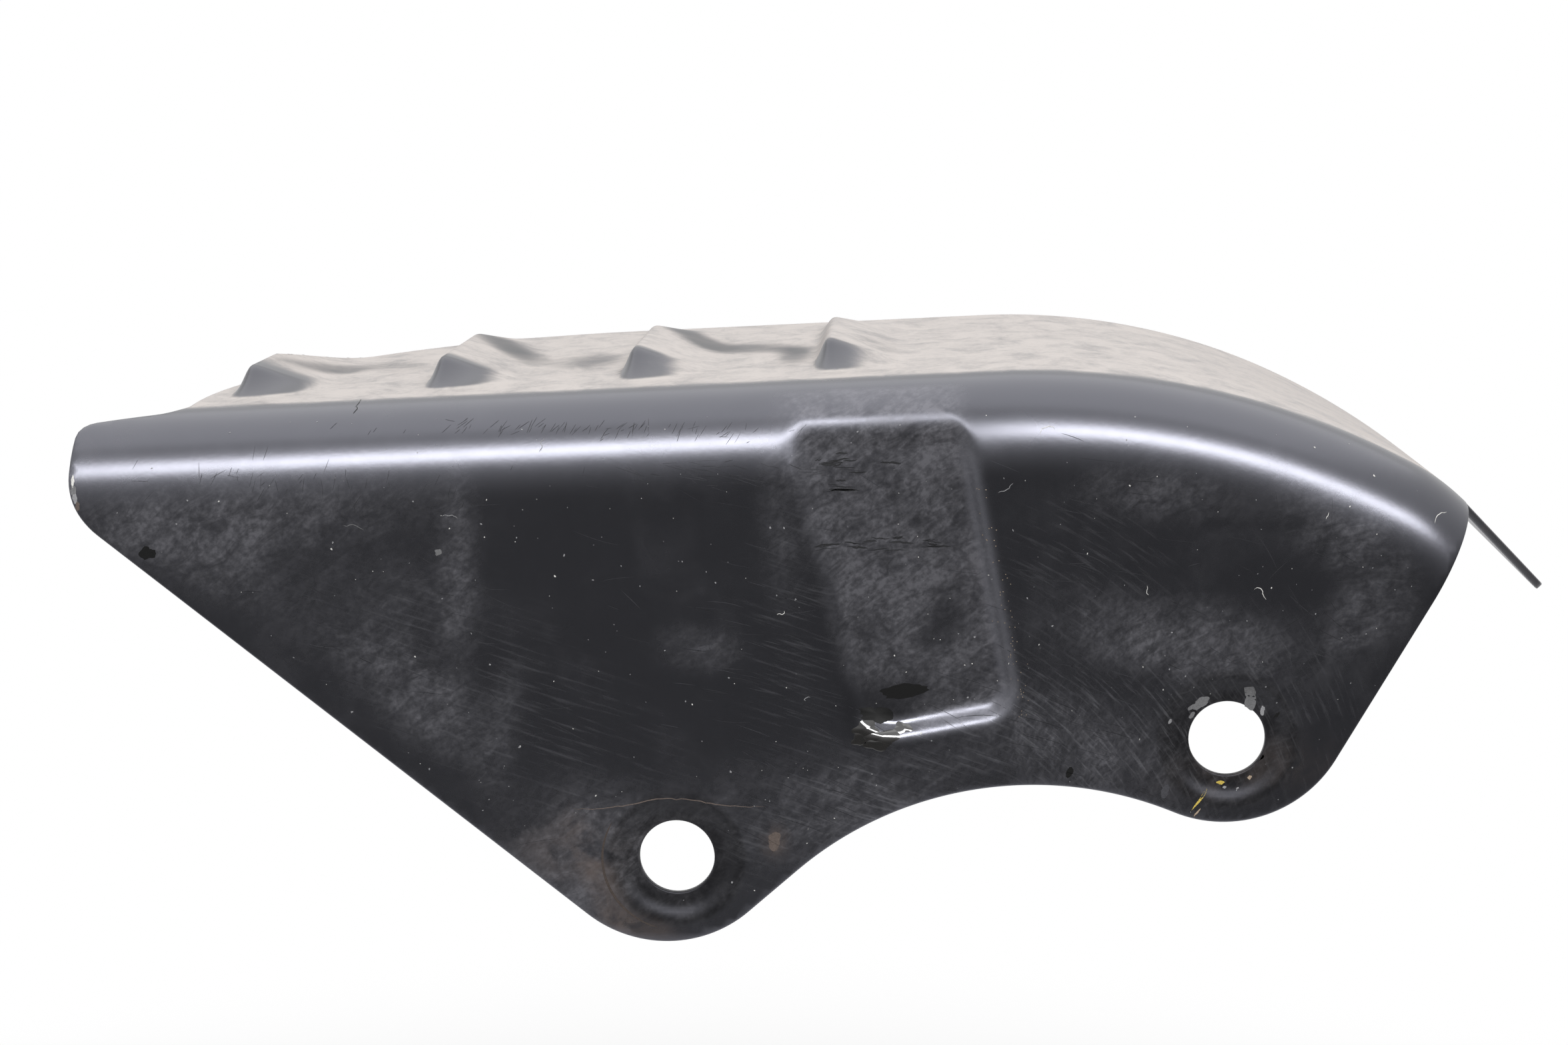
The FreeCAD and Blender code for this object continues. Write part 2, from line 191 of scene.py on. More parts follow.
@dataclass(frozen=True)
class Fold:
    """The sheet laid flat and folded again: p runs along the roof line, q from the face over the bend."""

    line: RoofLine = RoofLine()
    shape: RoofShape = RoofShape()
    bend: float = 11.0
    face_y: float = -1.87
    lean: float = 1.0 / math.tan(SIDE_LEAN)
    reach: float = 25.0

    @property
    def roof_q(self) -> float:
        """Where the bend ends and the roof starts."""
        return self.bend * math.pi / 2.0

    def place(self, p: np.ndarray, q: np.ndarray) -> tuple[np.ndarray, np.ndarray]:
        """Folds points of the flat sheet.

        Args:
            p: distances along the roof line.
            q: distances across the fold, 0 where the bend starts on the face.

        Returns:
            The points and the outward normals of the outer side.
        """
        x, z, nx, nz = self.line.at(p)
        beta = np.clip(q / self.bend, 0.0, math.pi / 2.0)
        below = self.bend * (1.0 - np.sin(beta)) - np.minimum(q, 0.0)
        depth = self.bend * (1.0 - np.cos(beta)) + np.maximum(q - self.roof_q, 0.0)
        lift = self._lift(x, z, np.maximum(depth, self.bend)) * smooth_step(q / self.reach + 1.0)
        moved_x = x - nx * below + self.lean * lift
        points = np.stack((moved_x, self.face_y + depth, z - nz * below + lift), axis=1)
        normals = np.stack((nx * np.sin(beta), -np.cos(beta), nz * np.sin(beta)), axis=1)
        return points, normals

    def _lift(self, x: np.ndarray, z: np.ndarray, depth: np.ndarray) -> np.ndarray:
        """How far points of the plain roof line rise, along the face's right side, to the true roof.

        Args:
            x: X of the points.
            z: Z of the plain roof line there.
            depth: their distances behind the face's front.

        Returns:
            The rise, found in a few rounds.
        """
        lift = np.zeros_like(x)
        for _ in range(5):
            lift = lift + 0.79 * (self.shape.height(x + self.lean * lift, depth) - z - lift)
        return lift

    def from_face(self, points: np.ndarray) -> np.ndarray:
        """Lays points of the face or the bend flat.

        Args:
            points: their X and Z.

        Returns:
            Their p and q.
        """
        target = points
        for _ in range(10):
            p, below = self.line.locate(target[:, 0], target[:, 1])
            turned = self.bend * np.arcsin(np.clip(1.0 - below / self.bend, 0.0, 1.0))
            flat = np.stack((p, np.where(below < self.bend, turned, self.bend - below)), axis=1)
            target = target + points - self.place(flat[:, 0], flat[:, 1])[0][:, ::2]
        return flat

    def from_plan(self, points: np.ndarray) -> np.ndarray:
        """Lays points of the bend or the roof flat.

        Args:
            points: X and depth behind the face's front.

        Returns:
            Their p and q.
        """
        depth = points[:, 1]
        turned = self.bend * np.arccos(np.clip(1.0 - depth / self.bend, 0.0, 1.0))
        q = turned + np.maximum(depth - self.bend, 0.0)
        p = points[:, 0] - self.line.crown_x
        for _ in range(40):
            p = p + points[:, 0] - self.place(p, q)[0][:, 0]
        return np.stack((p, q), axis=1)


@dataclass(frozen=True)
class FaceOutline:
    """The cut edge of the face: a rounded tip, two lobes, an arch between them and a leaning right side."""

    tip_x: float = -71.7
    tip_z: float = 46.1
    tip_radius: float = 9.2
    lobe_radius: float = 14.99
    lower: tuple[float, float] = (-1.4, 4.6)
    upper: tuple[float, float] = (64.8, 20.35)
    arch_radius: float = 42.6
    flank: float = 8.0
    lean: float = SIDE_LEAN

    @property
    def arch(self) -> tuple[float, float]:
        """The arch's centre, set by its radius and by the length of the flank that leads to it.

        Returns:
            X and Z of the centre.
        """
        near = self.arch_radius + self.lobe_radius
        far = math.hypot(near, self.flank)
        run = self.upper[0] - self.lower[0]
        rise = self.upper[1] - self.lower[1]
        span = math.hypot(run, rise)
        along = (far**2 - near**2 + span**2) / (2.0 * span)
        drop = math.sqrt(far**2 - along**2)
        x = self.lower[0] + (along * run + drop * rise) / span
        return x, self.lower[1] + (along * rise - drop * run) / span

    def side_x(self, z: np.ndarray) -> np.ndarray:
        """How far right the leaning side reaches at a height.

        Args:
            z: the heights.

        Returns:
            X of the side there.
        """
        start_x = self.upper[0] + self.lobe_radius * math.sin(self.lean)
        start_z = self.upper[1] - self.lobe_radius * math.cos(self.lean)
        return start_x + (z - start_z) / math.tan(self.lean)

    def points(self, top_left: float, top_right: float, step: float) -> np.ndarray:
        """Samples the edge from the left side down, along the bottom and up the right side.

        Args:
            top_left: height at which the left side starts.
            top_right: height at which the right side ends.
            step: spacing of the points.

        Returns:
            X and Z of the points.
        """
        tip = (self.tip_x + self.tip_radius, self.tip_z)
        arch = self.arch
        run = (self.lower[0] - tip[0], self.lower[1] - tip[1])
        short_of = self.tip_radius - self.lobe_radius
        slope = math.atan2(run[1], run[0]) - math.acos(short_of / math.hypot(*run))
        over = (arch[0] - self.lower[0], arch[1] - self.lower[1])
        near = self.arch_radius + self.lobe_radius
        flank = math.atan2(over[1], over[0]) - math.acos(near / math.hypot(*over))
        meet = math.atan2(self.upper[1] - arch[1], self.upper[0] - arch[0])
        side = self.lean - math.pi / 2.0
        pieces = [
            sample_line((self.tip_x, top_left), (self.tip_x, self.tip_z), step),
            sample_arc(tip, self.tip_radius, -math.pi, slope, step),
            sample_line(
                self._on(tip, self.tip_radius, slope), self._on(self.lower, self.lobe_radius, slope), step
            ),
            sample_arc(self.lower, self.lobe_radius, slope, flank, step),
            sample_line(
                self._on(self.lower, self.lobe_radius, flank),
                self._on(arch, self.arch_radius, flank + math.pi),
                step,
            ),
            sample_arc(arch, self.arch_radius, flank + math.pi, meet, step),
            sample_arc(self.upper, self.lobe_radius, meet - math.pi, side, step),
            sample_line(
                self._on(self.upper, self.lobe_radius, side), (self.side_x(top_right), top_right), step
            ),
        ]
        return np.concatenate(pieces)

    @staticmethod
    def _on(centre: tuple[float, float], radius: float, angle: float) -> tuple[float, float]:
        """The point of a circle at an angle."""
        return centre[0] + radius * math.cos(angle), centre[1] + radius * math.sin(angle)


@dataclass(frozen=True)
class RoofOutline:
    """The cut edge of the roof seen from above: tip, left side, round back corners and the tail."""

    depth: float = 64.95
    left_x: float = -59.7
    corner: float = 50.0
    right_corner_x: float = 66.5
    tip_depth: float = 6.8
    tip_run_out: float = 9.3
    tip_round: float = 2.6
    notch_round: float = 4.0
    tail_root: float = 13.0
    tail_angle: float = math.radians(57.5)
    tail_round: float = 4.0

    def points(self, tip_x: float, root_x: float, step: float) -> np.ndarray:
        """Samples the edge from the tail's root round the back to the tip's corner.

        Args:
            tip_x: how far left the face's tip reaches.
            root_x: where the face's right side meets the roof.
            step: spacing of the points.

        Returns:
            X and depth of the points.
        """
        right = (self.right_corner_x, self.depth - self.corner)
        left = (self.left_x + self.corner, self.depth - self.corner)
        along = np.array((math.cos(self.tail_angle), math.sin(self.tail_angle)))
        inward = np.array((-along[1], along[0]))
        start = np.array((root_x, self.tail_root))
        offset = start + inward * self.tail_round - np.array(right)
        half = float(offset @ along)
        reach = -half + math.sqrt(half**2 - float(offset @ offset) + (self.corner - self.tail_round) ** 2)
        centre = start + inward * self.tail_round + along * reach
        out = math.atan2(centre[1] - right[1], centre[0] - right[0])
        foot = start + along * reach
        tip = (tip_x, self.tip_depth)
        notch = (self.left_x, self.tip_run_out)
        pieces = [
            sample_line(tuple(start), tuple(foot), step),
            sample_arc(tuple(centre), self.tail_round, self.tail_angle - math.pi / 2.0, out, step),
            sample_arc(right, self.corner, out, math.pi / 2.0, step),
            sample_line((right[0], self.depth), (left[0], self.depth), step),
            sample_arc(left, self.corner, math.pi / 2.0, math.pi, step),
        ]
        notch_arc = self._round((self.left_x, left[1]), notch, tip, self.notch_round, step)
        tip_arc = self._round(notch, tip, (tip_x, 0.0), self.tip_round, step)
        pieces.append(sample_line((self.left_x, left[1]), tuple(notch_arc[0]), step))
        pieces.append(notch_arc[:-1])
        pieces.append(sample_line(tuple(notch_arc[-1]), tuple(tip_arc[0]), step))
        pieces.append(tip_arc)
        return np.concatenate(pieces)

    @staticmethod
    def _round(
        before: tuple[float, float],
        corner: tuple[float, float],
        after: tuple[float, float],
        radius: float,
        step: float,
    ) -> np.ndarray:
        """Rounds a corner.

        Args:
            before: a point on the edge that comes in.
            corner: the sharp corner.
            after: a point on the edge that goes out.
            radius: the round's radius.
            step: spacing of the points.

        Returns:
            The round's points, both ends included.
        """
        a = np.asarray(before) - corner
        b = np.asarray(after) - corner
        a = a / np.linalg.norm(a)
        b = b / np.linalg.norm(b)
        half = math.acos(float(np.clip(a @ b, -1.0, 1.0))) / 2.0
        middle = (a + b) / np.linalg.norm(a + b)
        centre = np.asarray(corner) + middle * (radius / math.sin(half))
        first = np.asarray(corner) + a * (radius / math.tan(half)) - centre
        last = np.asarray(corner) + b * (radius / math.tan(half)) - centre
        start = math.atan2(first[1], first[0])
        turn = (math.atan2(last[1], last[0]) - start + math.pi) % (2.0 * math.pi) - math.pi
        count = max(4, round(abs(turn) * radius / step))
        angle = start + turn * np.linspace(0.0, 1.0, count)
        return centre + radius * np.stack((np.cos(angle), np.sin(angle)), axis=1)


@dataclass(frozen=True)
class Pad:
    """The pad pressed into the face: how deep the sheet lies at a point of the face."""

    depth: float = 2.2
    left_x: float = 20.2
    left_lean: float = math.radians(104.4)
    right_x: float = 43.0
    right_lean: float = math.radians(100.8)
    bottom_z: float = 14.9
    bottom_rise: float = math.radians(11.7)
    corner: float = 5.5
    left_wall: float = 5.0
    wall: float = 4.0

    def inside(self, x: np.ndarray, z: np.ndarray) -> np.ndarray:
        """How far points lie inside the pad's rim, in shares of the wall's width.

        Args:
            x: the points' X.
            z: the points' Z.

        Returns:
            Shares, 0 at the rim, 1 at the wall's foot and negative outside.
        """
        up = z - self.bottom_z
        left = (x - self.left_x) * math.sin(self.left_lean) - up * math.cos(self.left_lean)
        right = (self.right_x - x) * math.sin(self.right_lean) + up * math.cos(self.right_lean)
        middle = (self.left_x + self.right_x) / 2.0
        bottom = up * math.cos(self.bottom_rise) - (x - middle) * math.sin(self.bottom_rise)
        round_left = self._corner(left * self.wall / self.left_wall, bottom)
        return np.minimum(round_left, self._corner(right, bottom)) / self.wall

    def _corner(self, side: np.ndarray, bottom: np.ndarray) -> np.ndarray:
        """Distance inside two edges that meet in a round corner.

        Args:
            side: distances inside the one edge.
            bottom: distances inside the other.

        Returns:
            Distances inside both.
        """
        a = np.maximum(self.corner - side, 0.0)
        b = np.maximum(self.corner - bottom, 0.0)
        both = (a > 0.0) & (b > 0.0)
        return np.where(both, self.corner - np.hypot(a, b), np.minimum(side, bottom))

    def at(self, x: np.ndarray, z: np.ndarray) -> np.ndarray:
        """Depth of the pad's floor and walls at points of the face."""
        return self.depth * smooth_step(self.inside(x, z))


@dataclass(frozen=True)
class Dish:
    """A round seat pressed in about a bolt hole."""

    x: float
    z: float
    hole: float = 4.5
    floor: float = 5.5
    rim: float = 8.0
    depth: float = 0.9

    def at(self, x: np.ndarray, z: np.ndarray) -> np.ndarray:
        """Depth of the dish at points of the face."""
        away = np.hypot(x - self.x, z - self.z)
        return self.depth * smooth_step((self.rim - away) / (self.rim - self.floor))


@dataclass(frozen=True)
class Rib:
    """A rib pressed up across the roof: a lopsided ridge, steep on its left, that sinks towards the back."""

    x: float
    height: float = 3.28
    foot: float = 15.9
    peak: float = 24.0
    end: float = 62.5
    end_height: float = 1.9
    left: float = 2.7
    right: float = 10.2
    top: float = 0.4
    bow: float = 0.02
    steepening: float = 1.35
    run_out: float = 7.0

    def at(self, along: np.ndarray, depth: np.ndarray) -> np.ndarray:
        """Height of the rib over the roof.

        Args:
            along: distances along the roof line from the crest.
            depth: distances behind the face's front.

        Returns:
            Heights, 0 beside the rib.
        """
        zero = np.zeros_like(along)
        one = np.ones_like(along)
        steep = smooth_step(1.0 + (along - self.top) / self.left)
        gentle = np.clip(1.0 - (along - self.top) / self.right, 0.0, 1.0)
        section = np.where(along < self.top, steep, gentle**2 * (1.0 + 0.95 * (1.0 - gentle)))
        climb = np.clip((depth - self.foot - self.bow * along**2) / (self.peak - self.foot), 0.0, 1.0)
        front = soft_min(1.04 * climb**self.steepening, one, 0.2)
        back = soft_max(soft_min((self.end - depth) / self.run_out, one, 0.6), zero, 0.3)
        sink = np.clip((depth - self.peak) / (self.end - self.peak), 0.0, 1.0)
        crest = self.height + (self.end_height - self.height) * sink
        here = (depth > self.foot - 2.0) & (depth < self.end + 2.0)
        return np.where(here, crest * section * front * back, 0.0)


def store_vectors(mesh: bpy.types.Mesh, name: str, values: np.ndarray) -> None:
    """Stores a row of three numbers for each vertex of a mesh under a name."""
    attribute = mesh.attributes.new(name, "FLOAT_VECTOR", "POINT")
    attribute.data.foreach_set("vector", np.ravel(values).astype(np.float32))


@dataclass(frozen=True)
class Blot:
    """A soft oval patch on the face (X and Z) or on the roof (X and depth), used for wear and for painted
    shade and reflection.
    """

    x: float
    v: float
    long: float
    wide: float
    turn: float = 0.0
    amount: float = 1.0

    def at(self, x: np.ndarray, v: np.ndarray) -> np.ndarray:
        """How strong the patch is at points.

        Args:
            x: X of the points.
            v: their Z on the face, or depth on the roof.

        Returns:
            The strength, which fades to 0 outside the oval.
        """
        cos, sin = math.cos(math.radians(self.turn)), math.sin(math.radians(self.turn))
        along = ((x - self.x) * cos + (v - self.v) * sin) / self.long
        across = ((v - self.v) * cos - (x - self.x) * sin) / self.wide
        return self.amount * np.exp(-(along**2 + across**2) ** 1.5)


@dataclass(frozen=True)
class WearAndPaintedLightMap:
    """Where the paint is hazy, brushed, rusty, wet or dusty, in broad soft patches; some bare, matt patches
    on the roof are painted shade and one band of haze is partly a painted reflection.
    """

    haze_and_reflection: tuple[Blot, ...] = (
        Blot(-30.0, 19.5, 10.0, 4.5, -38.0, 0.8),
        Blot(-56.0, 37.5, 9.0, 5.0, -25.0, 0.8),
        Blot(-36.0, 30.0, 12.0, 7.0, 0.0, 0.35),
        Blot(-25.5, 35.0, 10.0, 2.2, 90.0, 0.8),
        Blot(-21.0, 15.0, 8.0, 2.0, 80.0, 0.5),
        Blot(31.0, 28.5, 4.5, 2.4, 72.0, -0.8),
        Blot(25.0, 19.0, 5.5, 3.6, 0.0, -0.7),
        Blot(33.0, 21.0, 5.0, 2.5, 10.0, -0.5),
        Blot(47.0, 15.0, 15.0, 6.0, -15.0, 0.6),
        Blot(22.0, 7.0, 13.0, 5.0, 25.0, 0.6),
        Blot(59.0, 27.5, 14.0, 4.5, -8.0, 0.9),
        Blot(81.0, 31.0, 6.0, 3.5, 40.0, 0.7),
        Blot(78.0, 40.0, 8.0, 4.0, -30.0, 0.6),
        Blot(56.0, 45.0, 9.0, 3.0, -5.0, 0.5),
        Blot(-12.0, 2.0, 8.0, 7.0, 0.0, 0.7),
        Blot(3.0, 26.0, 5.0, 2.5, 0.0, 0.5),
        Blot(13.0, 42.0, 3.0, 10.0, 0.0, 0.4),
        # Partly a painted reflection: this long band lightens the face just under the bend's highlight,
        # standing in for the highlight's lower glow; partly haze.
        Blot(-52.0, 41.0, 22.0, 4.0, 4.0, 0.75),
        Blot(-9.0, -2.0, 9.0, 6.0, 60.0, 0.6),
        Blot(7.0, 6.0, 12.0, 5.0, 20.0, 0.35),
    )
    brush: tuple[Blot, ...] = (
        Blot(49.0, 17.0, 17.0, 8.0, -15.0, 1.0),
        Blot(22.0, 7.0, 15.0, 6.0, 25.0, 1.0),
        Blot(14.0, 26.0, 5.0, 16.0, 0.0, 0.6),
        Blot(48.0, 36.0, 9.0, 8.0, 0.0, 0.55),
        Blot(-22.0, 20.0, 22.0, 10.0, -30.0, 0.5),
        Blot(68.0, 20.0, 12.0, 10.0, 0.0, 0.5),
    )
    rust: tuple[Blot, ...] = (
        Blot(-9.3, -2.5, 7.5, 1.7, 115.0, 0.9),
        Blot(-5.0, -8.3, 5.0, 1.4, -15.0, 0.7),
        Blot(11.8, 2.5, 1.8, 1.3, 90.0, 1.0),
        Blot(-13.0, 1.0, 6.0, 4.0, 0.0, 0.4),
        Blot(68.0, 12.0, 9.0, 3.0, 10.0, 0.25),
    )
    wet: tuple[Blot, ...] = (Blot(25.0, 18.0, 4.5, 3.5, 0.0, 1.0), Blot(29.0, 51.5, 12.0, 2.5, 3.0, -0.5))
    # Dust-free matt patches on the roof: the diagonal ones behind the ribs' right flanks are painted shade
    # of those flanks, the rest are wiped dust.
    wiped_and_shaded: tuple[Blot, ...] = (
        Blot(-25.5, 47.0, 15.0, 3.6, -64.0, 1.0),
        Blot(-2.0, 52.0, 14.0, 3.2, -68.0, 1.0),
        Blot(8.0, 41.0, 9.0, 5.0, -30.0, 0.85),
        Blot(-13.0, 36.0, 4.5, 8.0, 0.0, 0.75),
        Blot(13.0, 31.0, 2.5, 8.0, 0.0, 0.8),
        Blot(-47.0, 37.0, 4.0, 9.0, -50.0, 0.85),
        Blot(-37.5, 38.0, 3.0, 7.0, 0.0, 0.4),
        Blot(23.5, 33.0, 3.0, 8.0, 0.0, 0.35),
    )
    dust_start: float = 0.86
    dust_fade: float = 0.28
    dish_margin: float = 1.0
    dish_fade: float = 1.2
    dish_haze: float = 0.3
    # How much dust and gloss the roof patches lose; partly painted shade behind the ribs.
    wiped_and_shaded_dust: float = 0.76
    wiped_and_shaded_matt: float = 0.8
    # How far the ribs' fronts are kept bare of dust and matt, as painted shade of their darker facing sides.
    shaded_front_dust: float = 0.93
    shaded_front_matt: float = 0.3
    front_past: tuple[float, float] = (2.5, 9.5)
    front_fade: tuple[float, float] = (4.0, 10.0)
    front_beside: tuple[float, float] = (7.0, 11.0)
    front_beside_fade: float = 5.8
    front_raised: float = 0.35
    rim_dust: float = 0.03
    inner_dust: float = 0.12
    inner_rust: float = 0.35
    inner_haze: float = 0.5
    tail_rust: float = 0.2
    tail_x: float = 45.0
    tail_q: float = 20.0
    tail_fade: tuple[float, float] = (45.0, 6.0)
    edge_reach: float = 0.7

    def masks(
        self, shell: "GuardShell", points: np.ndarray, lay: np.ndarray, inner: np.ndarray, edge: np.ndarray
    ) -> tuple[np.ndarray, np.ndarray]:
        """Works out the wear, with its painted shade and painted reflection, at each vertex.

        Args:
            shell: the guard that wears.
            points: its vertices in millimetres.
            lay: p and q of the vertices.
            inner: 0 on the outer side and 1 on the inner side.
            edge: points along the cut edges.

        Returns:
            Dust (left off the ribs' fronts and off patches behind them as painted shade), haze (partly a
            painted reflection under the bend's highlight) and brushing, and then rust, wetness (negative
            where matt) and nearness to an edge.
        """
        x, z = points[:, 0], points[:, 2]
        depth = points[:, 1] - shell.fold.face_y
        q = lay[:, 1]
        roof_q = shell.fold.roof_q
        outside = inner < 0.7
        on_face = np.where(outside & (q < roof_q * 0.75), 1.0, 0.0)
        haze_and_reflection, brush, rust, wet = (
            on_face * np.clip(sum(blot.at(x, z) for blot in blots), -1.0, 1.0)
            for blots in (self.haze_and_reflection, self.brush, self.rust, self.wet)
        )
        haze_and_reflection = np.clip(haze_and_reflection + on_face * smooth_step(shell.pad.inside(x, z)), 0.0, 1.0)
        for dish in shell.dishes:
            away = np.hypot(x - dish.x, z - dish.z)
            ring = on_face * smooth_step((dish.rim + self.dish_margin - away) / self.dish_fade)
            wet = wet - ring
            haze_and_reflection = np.maximum(haze_and_reflection, self.dish_haze * ring)
        # Painted shade: dust-free matt patches behind the ribs stand in for the ribs' darker right flanks;
        # the other patches are wiped dust.
        rubbed_and_shaded = np.clip(sum(blot.at(x, depth) for blot in self.wiped_and_shaded), 0.0, 1.0)
        rubbed_and_shaded = np.where(outside & (q > roof_q), rubbed_and_shaded, 0.0)
        # Painted shade: the ribs' fronts are kept free of dust and made matt so that they read as the ribs'
        # darker facing sides.
        front = self._shaded_rib_fronts(shell, lay, depth)
        wet = wet - self.wiped_and_shaded_matt * rubbed_and_shaded - self.shaded_front_matt * front
        dust = smooth_step((q / roof_q - self.dust_start) / self.dust_fade)
        dust = dust * (1.0 - self.wiped_and_shaded_dust * rubbed_and_shaded) * (1.0 - self.shaded_front_dust * front)
        dust = np.where(inner > 0.3, self.rim_dust * dust, dust)
        fade_x, fade_q = self.tail_fade
        tail = smooth_step((x - self.tail_x) / fade_x) * smooth_step((q - self.tail_q) / fade_q)
        rust = np.maximum(rust, self.tail_rust * tail)
        dust = np.where(outside, dust, self.inner_dust)
        rust = np.where(outside, rust, self.inner_rust)
        haze_and_reflection = np.where(outside, haze_and_reflection, self.inner_haze)
        nearest = np.full(len(points), 1e9)
        for point in edge[::2]:
            nearest = np.minimum(nearest, ((points - point) ** 2).sum(axis=1))
        close = np.exp(-np.sqrt(nearest) / self.edge_reach)
        return np.column_stack((dust, haze_and_reflection, brush)), np.column_stack((rust, wet, close))

    def _shaded_rib_fronts(self, shell: "GuardShell", lay: np.ndarray, depth: np.ndarray) -> np.ndarray:
        """Finds the ribs' fronts, kept bare of dust and matt as painted shade of their darker facing sides;
        they reach further round the ribs on the left.

        Args:
            shell: the guard.
            lay: p and q of its vertices.
            depth: their distances behind the face's front.

        Returns:
            1 on a rib's front, fading to 0 around it.
        """
        p, q = lay[:, 0], lay[:, 1]
        first, last = shell.rib_p(shell.ribs[0]), shell.rib_p(shell.ribs[-1])
        past, fade, side = (
            np.interp(p, (first, last), (at_first, at_last))
            for at_last, at_first in (self.front_past, self.front_fade, self.front_beside)
        )
        ahead = smooth_step((shell.ribs[0].peak + past - depth) / fade)
        beside = smooth_step((side - shell.past_rib(p)) / self.front_beside_fade)
        raised = np.where(q > shell.fold.roof_q, shell.rib_height(p, depth), 0.0)
        return ahead * beside * smooth_step(raised / self.front_raised)


@dataclass
class GuardShell:
    """The whole guard as one fine mesh: outer skin, inner skin and a rounded cut edge."""

    fold: Fold = field(default_factory=Fold)
    face: FaceOutline = field(default_factory=FaceOutline)
    roof: RoofOutline = field(default_factory=RoofOutline)
    pad: Pad = field(default_factory=Pad)
    dishes: tuple[Dish, ...] = (Dish(0.0, 0.0), Dish(65.2, 15.4))
    ribs: tuple[Rib, ...] = tuple(Rib(-54.5 + 24.0 * index) for index in range(4))
    sheet: float = 1.0
    edge_round: float = 0.22
    edge_step: float = 0.7
    hole_step: float = 0.4
    coarse: float = 1.1
    fine: float = 0.55
    face_x: tuple[float, float] = (-75.0, 100.0)
    face_z: tuple[float, float] = (-12.0, 60.0)
    sheet_p: tuple[float, float] = (-125.0, 90.0)
    sheet_q: tuple[float, float] = (0.0, 75.0)
    pad_blend: float = 1.2
    wear_and_painted_light: WearAndPaintedLightMap = field(default_factory=WearAndPaintedLightMap)

    def build(self) -> bpy.types.Object:
        """Makes the mesh object.

        Returns:
            The guard, without a material.
        """
        flat, triangles = self._triangulate(self.loops)
        outer = self._press(flat)
        normals = self._normals(outer, triangles)
        return self._assemble(flat, triangles, outer, normals)

    @cached_property
    def loops(self) -> list[np.ndarray]:
        """The flat sheet's outer edge and its holes' edges as p and q."""
        return [self._outer_loop()] + [self._hole_loop(dish) for dish in self.dishes]

    def clearance(self, flat: np.ndarray) -> np.ndarray:
        """Distance from points of the flat sheet to the nearest edge, negative off the sheet."""
        return self._clearance(flat[:, 0], flat[:, 1], self.loops)

    def _outer_loop(self) -> np.ndarray:
        """The flat sheet's outer edge.

        Returns:
            p and q of points along it.
        """
        step = self.edge_step
        fold = self.fold
        root_p = self._side_p(np.array([0.0]))[0]
        root_x = float(fold.place(np.array([root_p]), np.array([fold.roof_q]))[0][0, 0])
        plan = self.roof.points(self.face.tip_x, root_x, step)
        back = fold.from_plan(plan)
        left_top = float(fold.place(back[-1:, 0], back[-1:, 1])[0][0, 2])
        betas = np.linspace(0.0, math.pi / 2.0, round(fold.roof_q / step))
        side = np.stack((self._side_p(fold.bend * (1.0 - np.sin(betas))), fold.bend * betas), axis=1)
        right_top = float(fold.place(side[:1, 0], side[:1, 1])[0][0, 2])
        face = fold.from_face(self.face.points(left_top, right_top, step))
        tail_end = fold.roof_q + self.roof.tail_root - fold.bend
        root = sample_line((root_p, fold.roof_q), (root_p, tail_end), step)
        return np.concatenate((face[1:], side, root[1:], back))

    def _side_p(self, below: np.ndarray) -> np.ndarray:
        """Where along the roof line the face's right side runs.

        Args:
            below: distances below the roof line.

        Returns:
            p of the side there, found by halving.
        """
        low = np.zeros_like(below)
        high = np.full_like(below, 120.0)
        for _ in range(60):
            middle = (low + high) / 2.0
            x, z, nx, nz = self.fold.line.at(middle)
            inside = x - nx * below < self.face.side_x(z - nz * below)
            low = np.where(inside, middle, low)
            high = np.where(inside, high, middle)
        return (low + high) / 2.0

    def _hole_loop(self, dish: Dish) -> np.ndarray:
        """A bolt hole's edge as p and q."""
        edge = sample_arc((dish.x, dish.z), dish.hole, 0.0, 2.0 * math.pi, self.hole_step)
        return self.fold.from_face(edge)

    def _grid(self, step: float) -> tuple[np.ndarray, np.ndarray]:
        """Rows of points over the flat sheet, every other row shifted.

        Args:
            step: spacing of the points.

        Returns:
            p and q of the points, evenly spaced on the folded sheet.
        """
        spreads = []
        for across, up in ((self.face_x, self.face_z), (self.sheet_p, self.sheet_q)):
            u, v = np.meshgrid(np.arange(*across, step), np.arange(*up, step * math.sqrt(0.75)))
            u = u + np.where(np.arange(len(u)) % 2, step / 2.0, 0.0)[:, None]
            spreads.append(np.stack((u.ravel(), v.ravel()), axis=1))
        face = self.fold.from_face(spreads[0])
        both = np.concatenate((face[face[:, 1] < -step * 0.4], spreads[1]))
        return both[:, 0], both[:, 1]

    def _detail(self, p: np.ndarray, q: np.ndarray) -> np.ndarray:
        """Picks the points of the flat sheet that need the fine grid.

        Args:
            p: distances along the roof line.
            q: distances across the fold.

        Returns:
            True on the pad's walls, the dishes and the ribs.
        """
        points, _normals = self.fold.place(p, q)
        inside = self.pad.inside(points[:, 0], points[:, 2])
        wall = (inside > -0.3) & (inside < 1.3) & (q < 0.8 * self.fold.bend)
        needed = wall | ((inside > 0.0) & (q > 0.3 * self.fold.bend) & (q < 0.95 * self.fold.bend))
        for dish in self.dishes:
            needed |= (np.hypot(points[:, 0] - dish.x, points[:, 2] - dish.z) < dish.rim + 1.0) & (q < 0.0)
        depth = q - self.fold.roof_q + self.fold.bend
        for rib in self.ribs:
            along = p - self.rib_p(rib)
            needed |= (rib.at(along, depth) > 0.01) & (q > self.fold.roof_q)
        return needed

    def rib_p(self, rib: Rib) -> float:
        """Where along the roof line's straight rise a rib's crest stands.

        Args:
            rib: the rib.

        Returns:
            p of its crest.
        """
        line = self.fold.line
        run = rib.x - line.crown_x + line.radius * math.sin(line.rise)
        return run / math.cos(line.rise) - line.radius * line.rise

